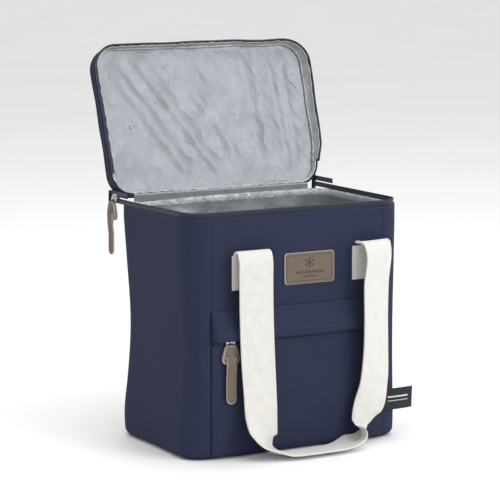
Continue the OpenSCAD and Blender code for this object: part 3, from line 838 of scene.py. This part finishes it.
lidTop = mouthZ + lid["height"]
lidOuter = lidPlate("lidPanel", 0.6, lidTop - 1, lidTop, canvas, "lid_panel", noLumps)
lidPad = lidPlate("lidFoam", 1.4, lidTop - 5.1, lidTop - 1.1, foam, "lid_foam", noLumps)
lidCloth = lidPlate("lidLining", 2.4, lidTop - 6.0, lidTop - 5.3, film, "lid_liner",
                    lidFolds)

gussetZ = mouthZ + 6
sideLevels = [gussetZ, gussetZ + 0.6, gussetZ + 3, gussetZ + 7, lidTop - 1.6, lidTop - 0.6]
lidSide = rimStrip(everyArc, 640, sideLevels, [0.2, 0, 0, 0, 0, 0.5], bag["fabric"], lidPoints, True, 0)
makePiece("lidGusset", openParts(lidSide), canvas, "lid", ["lid_gusset"])


def lidCord(z, depth, radius):
    # A round cord all the way round the lid
    arc = np.linspace(*everyArc, 640, endpoint=False)
    centres = lidPoints(arc, z + 0 * arc, depth + 0 * arc)
    ahead = unit(np.roll(centres, -1, 0) - np.roll(centres, 1, 0))
    across = unit(np.cross(ahead, upwards))
    return bandParts(centres, across, np.cross(across, ahead), roundProfile(radius, radius), closed=True)


piping = lidCord(lidTop - 0.9, 0.3, 1.0)
makePiece("lidPiping", openParts(piping), canvas, "lid")


def skirtPoints(arc, z, depth):
    # The lid's outline, kept above the gusset's lower edge where the cloth turns over the hinge
    return lidPoints(arc, np.where(np.abs(arc) > sideArc - 2, np.maximum(z, gussetZ + 0.2), z), depth)


skirtLevels = [mouthZ + 1.8, mouthZ + 3, gussetZ, gussetZ + 2, lidTop - 7.2, lidTop - 6.2]
lidSkirt = rimStrip(everyArc, 640, skirtLevels, [3.2, 2.9, 2.4, 2.5, 2.3, 2.4], 0.6, skirtPoints, True, 0)
makePiece("lidGussetLining", openParts(crinkled(lidSkirt, 0.3, 50, 11)), crinkledFilm, "lid",
          ["lid_gusset_liner"])
binding = crinkled(lidCord(lidTop - 7.2, 3.2, 1.2), 0.22, 60, 6)
makePiece("lidBinding", openParts(binding), crinkledFilm, "lid", ["lid_binding"])
lidEdge = rimStrip((-sideArc, sideArc), 420, [mouthZ + 2.4, mouthZ + 4, gussetZ, gussetZ + 4],
                   [1.2, 1.1, 1.1, 1.15], 0.6, lidZipLine, droop=0)
makePiece("lidTape", openParts(lidEdge), zipCloth, "lid", ["lid_zip_tape"])
makePiece("lidTeeth", openParts(chainParts((-sideArc, sideArc), mouthZ + 1.5, lidZipLine, 0)), coil, "lid",
          ["lid_zip_teeth"])


def hingeCloth():
    # A canvas and a film that go straight up the back, round a small turn at the hinge line, and out along
    # the lid
    turn = np.linspace(0, lidOpen, 9)[1:-1]
    radius = 0.9
    below = [(halfD - 0.2, z) for z in np.linspace(panelTop - 1.5, mouthZ - radius, 8)]
    bend = [(halfD - 0.2 + radius * (1 - math.cos(a)), mouthZ - radius + radius * math.sin(a))
            for a in turn]
    lean = np.array([math.sin(lidOpen), math.cos(lidOpen)])
    last = np.array(bend[-1])
    out = [tuple(last + s * lean) for s in np.linspace(0.6, 6.5, 9)]
    section = np.array(below + bend + out)
    x = np.linspace(-straightX - 4, straightX + 4, 120)
    points = np.zeros((len(x), len(section), 3))
    points[..., 0] = x[:, None]
    points[..., 1:] = section[None]
    inwards = unit(np.cross(np.gradient(points, axis=0), np.gradient(points, axis=1)))
    return sheetParts(points, -0.5), sheetParts(points + 0.52 * inwards, -0.38)


hingeOuter, hingeInner = hingeCloth()
hinge = makePiece("hingeCloth", hingeOuter, canvas, None, ["hinge_strip", "lid_hinge_strip"])
hingeLining = makePiece("hingeLining", hingeInner, film, None)
for piece in (hinge, hingeLining):
    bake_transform(piece)
print("lid made")


# The front pocket

pocket = {
    "proud": 2.6,            # how far the panel stands out
    "ripple": 0.3,
    "hem": 7,                # the flap's stitched hem
    "chainOut": 2.3,         # how far the zip stands out
    # the flap's section: the share of its height below its top, and how far it stands out there
    "flapShare": (0, 0.045, 0.15, 0.36, 0.61, 0.76, 0.88, 1.0),
    "flapOut": (1.15, 1.5, 2.5, 4.6, 7.0, 8.1, 8.3, 8.1),
}
pocketSpan = frontSeams
flapEdge, pocketTop = span("pocket_flap", 2)
panelHigh = span("pocket_panel", 2)[1]


def pocketSheet(lift):
    # Sewn flat at its sides and foot, and a little full between them
    x = np.linspace(*pocketSpan, 150)[:, None]
    z = np.linspace(3, panelHigh, 90)[None, :]
    edge = np.minimum(x - pocketSpan[0], pocketSpan[1] - x)
    full = step(edge, 0, 3) * step(z, 3, 8)
    swell = pocket["proud"] - 1.2 + pocket["ripple"] * ripples(x, z, 70, 60) + 0.5 * bump(z - 60, 40)
    return onFront(x, z, 1.1 + full * swell + lift)


pocketCloth = makePiece("pocketPanel", shellParts(pocketSheet(0), pocketSheet(-0.9)), canvas, "bag",
                        ["pocket_panel"])
liningX = np.linspace(*span("pocket_lining", 0), 60)[:, None]
pocketInside = [onFront(liningX, np.linspace(7, 104, 40)[None, :], out) for out in (0.32, 0.08)]
makePiece("pocketLining", shellParts(*pocketInside), film, "bag", ["pocket_lining"])


def flapSheet(lift):
    # A slanting cover with a shallow crease along its middle, drawn down at both its ends
    x = np.linspace(*pocketSpan, 200)[:, None]
    z = np.linspace(pocketTop, flapEdge, 50)[None, :]
    flapZ = pocketTop - np.array(pocket["flapShare"]) * (pocketTop - flapEdge)
    out = np.interp(z, flapZ[::-1], pocket["flapOut"][::-1])
    edge = np.minimum(x - pocketSpan[0], pocketSpan[1] - x)
    out = 1.15 + (out - 1.15) * (0.35 + 0.65 * step(edge, 0, 3.5))
    crease = -0.45 * bump(z - flapEdge - 15 - 0.02 * x, 1.6) * step(edge, 0, 20)
    crease = crease - 0.3 * bump(z - flapEdge - pocket["hem"], 0.8)
    wave = 0.3 * ripples(x, z * 0.6, 81, 55) * step(edge, 0, 12) * step(pocketTop - z, 0, 10)
    return onFront(x, z, out + crease + wave + lift)


flap = makePiece("pocketFlap", shellParts(flapSheet(0), flapSheet(-1.0)), canvas, "bag",
                 ["pocket_flap"])


def across(z, out, inset=1.2):
    # A level line over the front panel between the pocket's sides
    x = np.linspace(pocketSpan[0] + inset, pocketSpan[1] - inset, 200)
    return onFront(x, z + 0 * x, out + 0 * x)


def upright(x, low, high, out):
    # An upright line over the front panel
    z = np.linspace(low, high, 120)
    return onFront(x + 0 * z, z, out + 0 * z)


seams = stitchParts(across(pocketTop - 1.0, 1.45), forward)
seams += stitchParts(across(flapEdge + pocket["hem"], 7.9, 4), forward)
for x in (pocketSpan[0] + 1.3, pocketSpan[1] - 1.3):
    seams += stitchParts(upright(x, 9, panelHigh - 2, 1.6), forward)
makePiece("pocketStitching", seams, navyThread, "bag")

chainZ = flapEdge + 0.5
tapeX = np.linspace(*span("pocket_zip_tape", 0), 140)
tapes = []
for near, far in ((2.4, 9), (-2.4, -9)):
    rows = chainZ + np.linspace(near, far, 5)[None, :]
    tuck = 0.13 * np.abs(rows - chainZ)
    tapes += shellParts(*[onFront(tapeX[:, None], rows, pocket["chainOut"] - tuck + lift)
                          for lift in (0.3, -0.3)])
makePiece("pocketTape", tapes, zipCloth, "bag", ["pocket_zip_tape"])
teeth = []
for side in (-1, 1):
    line = onFront(tapeX, chainZ + side * 1.5 + 0 * tapeX, pocket["chainOut"] + 0 * tapeX)
    centres, ahead = alongPath(line, np.arange(0.8, tapeX[-1] - tapeX[0] - 0.5, zipDepth["toothPitch"]))
    teeth += beads(centres, ahead, np.broadcast_to(forward, ahead.shape), zipDepth["toothHalf"])
makePiece("pocketTeeth", teeth, coil, "bag", ["pocket_zip_teeth"])
print("pocket made")


# Badge and side tag

badgeLow, badgeHigh = boxOf("badge")
badge = {
    "x": (badgeLow[0] + badgeHigh[0]) / 2,
    "z": (badgeLow[2] + badgeHigh[2]) / 2,
    "halfWidth": (badgeHigh[0] - badgeLow[0]) / 2,
    "halfHeight": (badgeHigh[2] - badgeLow[2]) / 2,
    "leather": 1.6,
    "stitchInset": 3.0,
    "emblemUp": 5.2,         # how far the emblem's middle stands above the badge's
    "emblemReach": 5.2,
}


def onBadge(a, b, height):
    # A place on the badge, whose foot lies just off the front panel
    return onFront(badge["x"] + a, badge["z"] + b, height + 0.15)


badgeRim = roundedRim(badge["halfWidth"], badge["halfHeight"], 3.5)
makePiece("badge", plateParts(badgeRim, badge["leather"], 0.45, onBadge), [leather, cutLeather], "bag",
          ["badge"], slots=[0, 1, 0])
inset = badge["stitchInset"]
stitchRim = roundedRim(badge["halfWidth"] - inset, badge["halfHeight"] - inset, 2.5)
stitchLoop = np.concatenate([stitchRim, stitchRim[:1]])
stitchPath = onBadge(stitchLoop[:, 0], stitchLoop[:, 1], badge["leather"] + 0.02 + 0 * stitchLoop[:, 0])
makePiece("badgeStitching", stitchParts(stitchPath, forward, 1.5, 3.0, 0.42, 0.2), leatherThreadAndShadow, "bag",
          ["badge_stitching"])


def frontBand(centres, profile):
    # A section carried along a line, with its thickness towards the front
    along = unit(np.gradient(centres, axis=0))
    out = np.tile(forward, (len(centres), 1))
    return bandParts(centres, unit(np.cross(along, out)), out, profile)


def pressedLine(startA, startB, endA, endB, halfWidth, count=12):
    # A thin pressed line lying on the badge
    share = np.linspace(0, 1, count)
    a, b = startA + (endA - startA) * share, startB + (endB - startB) * share
    return frontBand(onBadge(a, b, badge["leather"] - 0.03 + 0 * a), roundProfile(halfWidth, 0.12, 0.7))


emblem = []
up = badge["emblemUp"]
for turn in np.radians([30, 90, 150]):
    reach = np.array([math.cos(turn), math.sin(turn)]) * badge["emblemReach"]
    emblem += pressedLine(-reach[0], up - reach[1], reach[0], up + reach[1], 0.5)
    for end in (-1, 1):
        for lean in (-0.6, 0.6):
            tip = reach * end * 0.62
            branch = 2.2 * np.array([math.cos(turn + lean), math.sin(turn + lean)]) * end
            emblem += pressedLine(tip[0], up + tip[1], tip[0] + branch[0], up + tip[1] + branch[1], 0.36)
waveX = np.linspace(-16, 16, 17)
waveZ = -4.2 + 1.5 * np.cos(np.pi * np.arange(17))
for k in range(16):
    emblem += pressedLine(waveX[k], waveZ[k], waveX[k + 1], waveZ[k + 1], 0.5)
emblem += pressedLine(-8, -8.6, 8, -8.6, 0.5)
makePiece("badgeEmblem", emblem, leatherThreadAndShadow, "bag")

tagLow, tagHigh = boxOf("side_tag")


def tagBend(share, level):
    # How far the tag bends to the front, at a share of its length and a height above its foot
    return 1.1 * np.sin(share * 2.6) * step(share, 0, 0.4) + 0.5 * share * (level - 11) / 11


def tagSheet():
    # A woven strip folded over on itself, which bends a little on its way out
    z = np.linspace(tagLow[2], tagHigh[2], 24)[None, :]
    outLeg = np.linspace(tagLow[0] + 0.5, tagHigh[0] - 0.6, 40)
    turn = np.linspace(-math.pi / 2, math.pi / 2, 9)[1:-1]
    x = np.concatenate([outLeg, outLeg[-1] + 0.5 * np.cos(turn), outLeg[::-1]])[:, None]
    y = np.concatenate([0 * outLeg - 0.5, 0.5 * np.sin(turn), 0 * outLeg + 0.5])[:, None]
    share = (x - tagLow[0]) / (tagHigh[0] - tagLow[0])
    middle = (tagLow[1] + tagHigh[1]) / 2
    return np.stack([x + 0 * z, middle + y - tagBend(share, z - tagLow[2]), z + 0.6 * share + 0 * x], -1)


tag = makePiece("sideTag", sheetParts(tagSheet(), 0.4), label, "bag", ["side_tag"])
stripes = []
for level, high in ((13.6, 1.5), (9.4, 0.7)):
    x = np.linspace(tagLow[0] + 7, tagLow[0] + 31, 30)
    share = (x - tagLow[0]) / (tagHigh[0] - tagLow[0])
    y = (tagLow[1] + tagHigh[1]) / 2 - 0.56 - tagBend(share, level)
    centres = np.stack([x, y, tagLow[2] + level + 0.6 * share], -1)
    stripes += frontBand(centres, roundProfile(high / 2, 0.1, 0.5))
makePiece("tagStripes", stripes, labelThread, "bag")
print("badge and tag made")


# Handles and their sewn ends

endLow, endHigh = boxOf("front_strap_ends")
web = {"width": 38, "thickness": 2.0, "scallop": 0.22, "scallopPitch": 2.4}
web["endX"] = (endLow[0] + web["width"] / 2, endHigh[0] - web["width"] / 2)
handleMiddle = (endLow[0] + endHigh[0]) / 2
foldZ = endHigh[2]
webProfile = roundProfile(1.0, 1.0, 0.16, 40)


def webbingParts(centres, wide, out, curl=0.001):
    # The webbing's section along a path, with small scallops where the weft turns at its edges.
    # Curl is half the angle of the arc that the section follows: across = half sin(curl s) / curl,
    # lift = half (1 - cos(curl s)) / curl, with the cloth's thickness along the arc's normal
    gone = distances(centres)
    half = (web["width"] / 2 + web["scallop"] * np.sin(gone * tau / web["scallopPitch"]))[:, None]
    curl = np.maximum(curl + 0 * gone, 0.001)[:, None]
    angle = webProfile[None, :, 0] * curl
    thick = webProfile[None, :, 1] * web["thickness"] / 2
    across = half * np.sin(angle) / curl + thick * np.sin(angle)
    lift = thick * np.cos(angle) - half * (1 - np.cos(angle)) / curl
    points = centres[:, None] + across[..., None] * wide[:, None] + lift[..., None] * out[:, None]
    return [gridPart(points, closedV=True)] + endFans(points)


# Stations: x from the handle's middle, distance out from the bag, height, the width's direction in
# degrees from +X towards +Y, its tilt upwards, and the curl; the last two are 0 where they are left out
legTop = [[0, 3.6, -2.6], [0, 4.8, 0.9], [0, 8.8, 3.2], [0, 13, 1.4], [0, 14.7, -2.5]]
leftLeg = [[x - 70, out, foldZ + z, 0] for x, out, z in legTop] + [
    [-69, 14.2, 180, 0], [-68, 13.2, 148, 0], [-66, 12.4, 105, 0], [-63.8, 13, 66, 3], [-63.2, 14.5, 42, 6],
    [-63.2, 16, 28, 16, 0, 0.3], [-60.5, 18.5, 14, 40, -0.05, 0.7], [-53, 21.5, 6.5, 62, -0.1, 0.5],
    [-40, 24.5, 3.4, 80, -0.11]]
floorRun = [[-22, 26, 3, 90, -0.1], [-4, 25.5, 3, 92, -0.1], [18, 25, 3.1, 97, -0.1],
            [36, 22, 3.6, 98, -0.1, 0.3]]
rightLeg = [[48, 18.5, 5, 88, -0.1, 0.8], [55, 15.5, 9, 66, -0.05, 1.3], [60.5, 14, 17, 38, 0, 1.2],
            [64.3, 13.3, 33, 8, 0, 0.4], [70.4, 13.5, 64, 11], [72, 14.2, 100, 18], [72, 14.2, 130, 20],
            [72, 14.2, 165, 18]] + [
    [70 + 3.5 * share, out - 0.3, foldZ + z, 16 * share] for (x, out, z), share in
    zip(legTop[::-1], (1, 0.9, 0.6, 0.3, 0))]


def handleParts(mirror):
    # Smooth stations, with the width direction made square to the path; the rear one is its mirror image
    keys = np.array([(station + [0, 0])[:6] for station in leftLeg + floorRun + rightLeg])
    keys[:, 0] += handleMiddle
    keys[:, 1] = -halfD - keys[:, 1]
    stations = smoothPath(keys, 0.6)
    centres = stations[:, :3].copy()
    turn = np.radians(stations[:, 3])
    wide = np.stack([np.cos(turn), np.sin(turn), stations[:, 4]], -1)
    along = unit(np.gradient(centres, axis=0))
    wide = unit(wide - (wide * along).sum(-1, keepdims=True) * along)
    out = np.cross(wide, along)
    if mirror:
        for array in (centres, wide, out):
            array[:, 1] *= -1
    return webbingParts(centres, wide, out, stations[:, 5])


sewnBox = {"halfWide": 15, "halfHigh": 14}
for name, mirror in (("front", False), ("back", True)):
    handle = makePiece(f"{name}Handle", handleParts(mirror), webbing, f"{name}_handle",
                       [f"{name}_handle"])
    sign = 1 if mirror else -1
    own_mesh(handle)
    ends, sewn = [], []
    low, high = boxOf(f"{name}_strap_ends")
    for x in web["endX"]:
        z = np.linspace(low[2], high[2] - 1.5, 60)
        y = sign * (halfD + 1.15) + 0 * z
        centres = np.stack([x + 0 * z, y, z], -1)
        if not mirror:
            centres = onFront(x + 0 * z, z, 1.15 + 0 * z)
            centres[:, 1] = np.minimum(centres[:, 1], -halfD - 0.9)
        ends += webbingParts(centres, np.tile([1.0, 0, 0], (60, 1)), np.tile([0, 1.0, 0], (60, 1)))
        # a box with both its diagonals, sewn in one line
        box = [(-1, -1), (1, -1), (1, 1), (-1, 1), (-1, -1), (1, 1), (-1, 1), (1, -1)]
        path = np.array([[x + a * sewnBox["halfWide"], sign * (halfD + 2.2),
                          (low[2] + high[2]) / 2 + b * sewnBox["halfHigh"]] for a, b in box])
        sewn += stitchParts(path, [0, sign, 0], 2.2, 2.9, 0.32, 0.22)
    makePiece(f"{name}StrapEnds", ends, webbing, "bag", [f"{name}_strap_ends"])
    makePiece(f"{name}StrapStitching", sewn, thread, "bag", [f"{name}_strap_stitching"])
print("handles made")


# Sliders, wire loops and leather pulls, shaped in a frame with x along the zip and -y outwards

pull = {
    "bar": 3.0,              # from the zip's middle out to the bar that the wire loop turns on
    "wire": 0.6,
    "loopWidth": 9,
    "loopHeight": 6,
    "leather": 1.5,
    "bellTop": 5.4,          # half the wide end's width at its top
    "bellWidth": 18,
    "bellHeight": 19,
    "bellCorner": 4,
    "tongueWidth": 11,
    "sideGap": 1.7,          # how much further the mouth's pull hangs from the side
}


def sliderParts():
    # Two tapered plates, a divider between them, rails along their edges, and an arch over the loop
    rim = roundedRim(5, 3.5, 1.4)
    taper = 1 - 0.16 * step(-rim[:, 0], -5, 5)
    rim = rim * np.stack([np.ones(len(rim)), taper], -1)
    parts = []
    for inner in (-2.1, 1.3):
        parts += plateParts(rim, 0.8, 0.3, lambda a, b, h: np.stack([a, inner + h, b], -1))
    parts += blockParts((3.6, 0, 0), (1.2, 1.5, 0.35))
    for z in (-3.1, 3.1):
        parts += blockParts((0, -1.05, z), (4.6, 0.5, 0.4)) + blockParts((0, 1.05, z), (4.6, 0.5, 0.4))
    turn = np.linspace(0, math.pi, 24)
    centres = np.stack([0 * turn, -1.9 - 2.4 * np.sin(turn) ** 0.7, 2.6 * np.cos(turn)], -1)
    ahead = unit(np.gradient(centres, axis=0))
    wide = np.tile([1.0, 0, 0], (24, 1))
    return parts + bandParts(centres, wide, np.cross(wide, ahead), roundProfile(1.15, 0.4, 0.5, 16))


def loopParts():
    # A bent wire link, hanging from the bar under the slider's arch
    rim = roundedRim(pull["loopWidth"] / 2, pull["loopHeight"] / 2, 1.4)
    centres = np.stack([rim[:, 0], 0 * rim[:, 0] - pull["bar"], rim[:, 1] - pull["loopHeight"] / 2], -1)
    ahead = unit(np.roll(centres, -1, 0) - np.roll(centres, 1, 0))
    out = np.tile([0, 1.0, 0], (len(rim), 1))
    section = roundProfile(pull["wire"], pull["wire"])
    return bandParts(centres, np.cross(out, ahead), out, section, closed=True)


def pullParts(length):
    # A wide end folded over the wire, and a tongue that comes out of a slit in its front layer; the layer is
    # not cut, and the slit is a dark bar of painted shadow
    top = -pull["loopHeight"] + 1.0
    half = pull["bellWidth"] / 2
    low = top - pull["bellHeight"] + 0.6
    share = np.linspace(0, 1, 30)
    neck, radius = pull["bellTop"], pull["bellCorner"]
    side = np.stack([neck + (half - neck) * np.sin(share * math.pi / 2),
                     top + (low + radius - top) * share], -1)
    turn = np.linspace(0, math.pi / 2, 12)[1:]
    foot = np.stack([half - radius + radius * np.cos(turn), low + radius - radius * np.sin(turn)], -1)
    right = np.concatenate([side, foot])
    rim = alongRim(np.concatenate([right, right[::-1] * [-1, 1]]), 120)
    slit = top - pull["bellHeight"] * 0.52
    thick = pull["leather"]

    def front(a, b, h):
        lift = 0.8 * bump(b - slit, 2.2) * bump(a, 5.5)
        return np.stack([a, -pull["bar"] - 0.35 - h * (1 + 0 * a) - lift, b], -1)

    def rear(a, b, h):
        return np.stack([a, -pull["bar"] + 1.85 - h, b], -1)

    parts = plateParts(rim, thick, 0.4, front) + plateParts(rim, thick, 0.4, rear)
    slots = [0, 1, 0, 0, 1, 0]
    roll = np.linspace(-0.2, math.pi + 0.2, 18)
    section = np.stack([1.25 * np.cos(roll), 1.25 * np.sin(roll)], -1)
    x = np.linspace(-5.3, 5.3, 16)
    over = np.zeros((16, 18, 3))
    over[..., 0] = x[:, None]
    over[..., 1] = -pull["bar"] + section[None, :, 0]
    over[..., 2] = top - 0.6 + section[None, :, 1]
    wrap = sheetParts(over, 0.55)
    parts += wrap
    slots += [0] * len(wrap)
    halfTongue = pull["tongueWidth"] / 2
    tip = np.linspace(0, math.pi, 30)
    end = -length + halfTongue
    tongue = np.concatenate([np.stack([halfTongue * np.cos(tip), end - halfTongue * np.sin(tip)], -1),
                             np.stack([-halfTongue + 0 * share, end + (slit - end) * share], -1)[1:],
                             np.stack([halfTongue + 0 * share, slit + (end - slit) * share], -1)[:-1]])
    tongue = alongRim(tongue, 160)

    def strap(a, b, h):
        # its upper end dips into the slit, and below the wide end it eases back
        dip = 1.5 * step(b, slit - 2.6, slit + 0.2)
        ease = 1.2 * (1 - step(b, low - 16, low - 1))
        return np.stack([a, -pull["bar"] - 0.35 - thick - h + dip + ease, b], -1)

    parts += plateParts(tongue, thick, 0.4, strap)
    # painted shadow: a thin dark bar across the front layer where the slit's gap would be
    parts += blockParts((0, -pull["bar"] - 0.35 - thick - 0.25, slit + 0.35), (halfTongue + 0.9, 0.35, 0.35))
    return parts, slots + [0, 1, 0, 2]


def placed(parts, origin, sideways):
    # Moves parts from the zip's frame to their place; sideways turns -y to face left
    moved = []
    for points, faces, corners in parts:
        if sideways:
            points = np.stack([points[:, 1], -points[:, 0], points[:, 2]], -1)
        moved.append((points + origin, faces, corners))
    return moved


for name, sideways, length in (("mouth", True, 60), ("pocket", False, 64)):
    bar = np.array(joints[f"{name}_pull_swing"]["pos_m"]) / mm
    origin = bar + (np.array([pull["bar"], 0, 0]) if sideways else np.array([0, pull["bar"], 0]))
    if sideways:
        origin[2] -= bag["droop"]
    makePiece(f"{name}Slider", placed(sliderParts(), origin, sideways), steel, f"{name}_slider",
              [f"{name}_slider"], sharp=35)
    makePiece(f"{name}Loop", placed(loopParts(), origin, sideways), steel, f"{name}_pull",
              [f"{name}_pull_loop"])
    parts, slots = pullParts(length)
    if sideways:
        origin[0] -= pull["sideGap"]
    makePiece(f"{name}Puller", placed(parts, origin, sideways), [leather, cutLeather, leatherThreadAndShadow],
              f"{name}_pull", [f"{name}_puller"], slots=slots)
print("pulls made")


# Floor, lights and camera

def studioFloor(reach=60, drop=0.0004):
    # One square, in metres, a hair below the bag
    mesh = bpy.data.meshes.new("studioFloor")
    signs = ((-1, -1), (1, -1), (1, 1), (-1, 1))
    mesh.from_pydata([(a * reach, b * reach, -drop) for a, b in signs], [], [(0, 1, 2, 3)])
    material, tree, shader = newMaterial("studio_floor")
    tone = colourBetween(tree, cloud(tree, 400, False, 2), (0.86, 0.86, 0.86), (0.88, 0.88, 0.88))
    feed(tree, shader, {"Base Color": tone, "Roughness": 0.6})
    mesh.materials.append(material)
    surface = bpy.data.objects.new("studioFloor", mesh)
    bpy.context.scene.collection.objects.link(surface)


def softLight(name, place, target, size, power):
    # A round lamp at a place, turned to face a target, with its size in metres and its power in watts
    lamp = bpy.data.lights.new(name, "AREA")
    lamp.shape = "DISK"
    lamp.size = size
    lamp.energy = power
    holder = bpy.data.objects.new(name, lamp)
    holder.location = place
    holder.rotation_euler = (Vector(target) - Vector(place)).to_track_quat("-Z", "Y").to_euler()
    bpy.context.scene.collection.objects.link(holder)


studio = {
    "aim": (0, 0, 0.18),
    "keyLight": ((1.1, -1.9, 1.3), 1.5, 28),
    "fillLight": ((-1.9, -1.0, 0.8), 1.8, 1.5),
    "topLight": ((0.1, 0.2, 2.3), 1.8, 26),
    "world": 0.85,
}
studioFloor()
for name in ("keyLight", "fillLight", "topLight"):
    place, size, power = studio[name]
    softLight(name, place, studio["aim"], size, power)
world = bpy.data.worlds.new("studio")
world.use_nodes = True
feed(world.node_tree, world.node_tree.nodes["Background"],
     {"Color": (1, 1, 1, 1), "Strength": studio["world"]})
bpy.context.scene.world = world
bpy.context.scene.view_settings.view_transform = "Standard"

eye = {
    "azimuth": -29.3,        # degrees, from the front towards the right
    "elevation": 8.6,
    "distance": 2.3275,
    "target": (-0.01125, 0, 0.19525),
    "lens": 161.9,
}
azimuth, elevation = math.radians(eye["azimuth"]), math.radians(eye["elevation"])
flat = math.cos(elevation)
back = Vector((math.sin(azimuth) * flat, -math.cos(azimuth) * flat, math.sin(elevation)))
cameraData = bpy.data.cameras.new("camera")
cameraData.lens = eye["lens"]
cameraData.sensor_width = 36
cameraData.clip_end = 30
camera = bpy.data.objects.new("camera", cameraData)
camera.location = Vector(eye["target"]) + back * eye["distance"]
camera.rotation_euler = (-back).to_track_quat("-Z", "Y").to_euler()
bpy.context.scene.collection.objects.link(camera)
bpy.context.scene.camera = camera
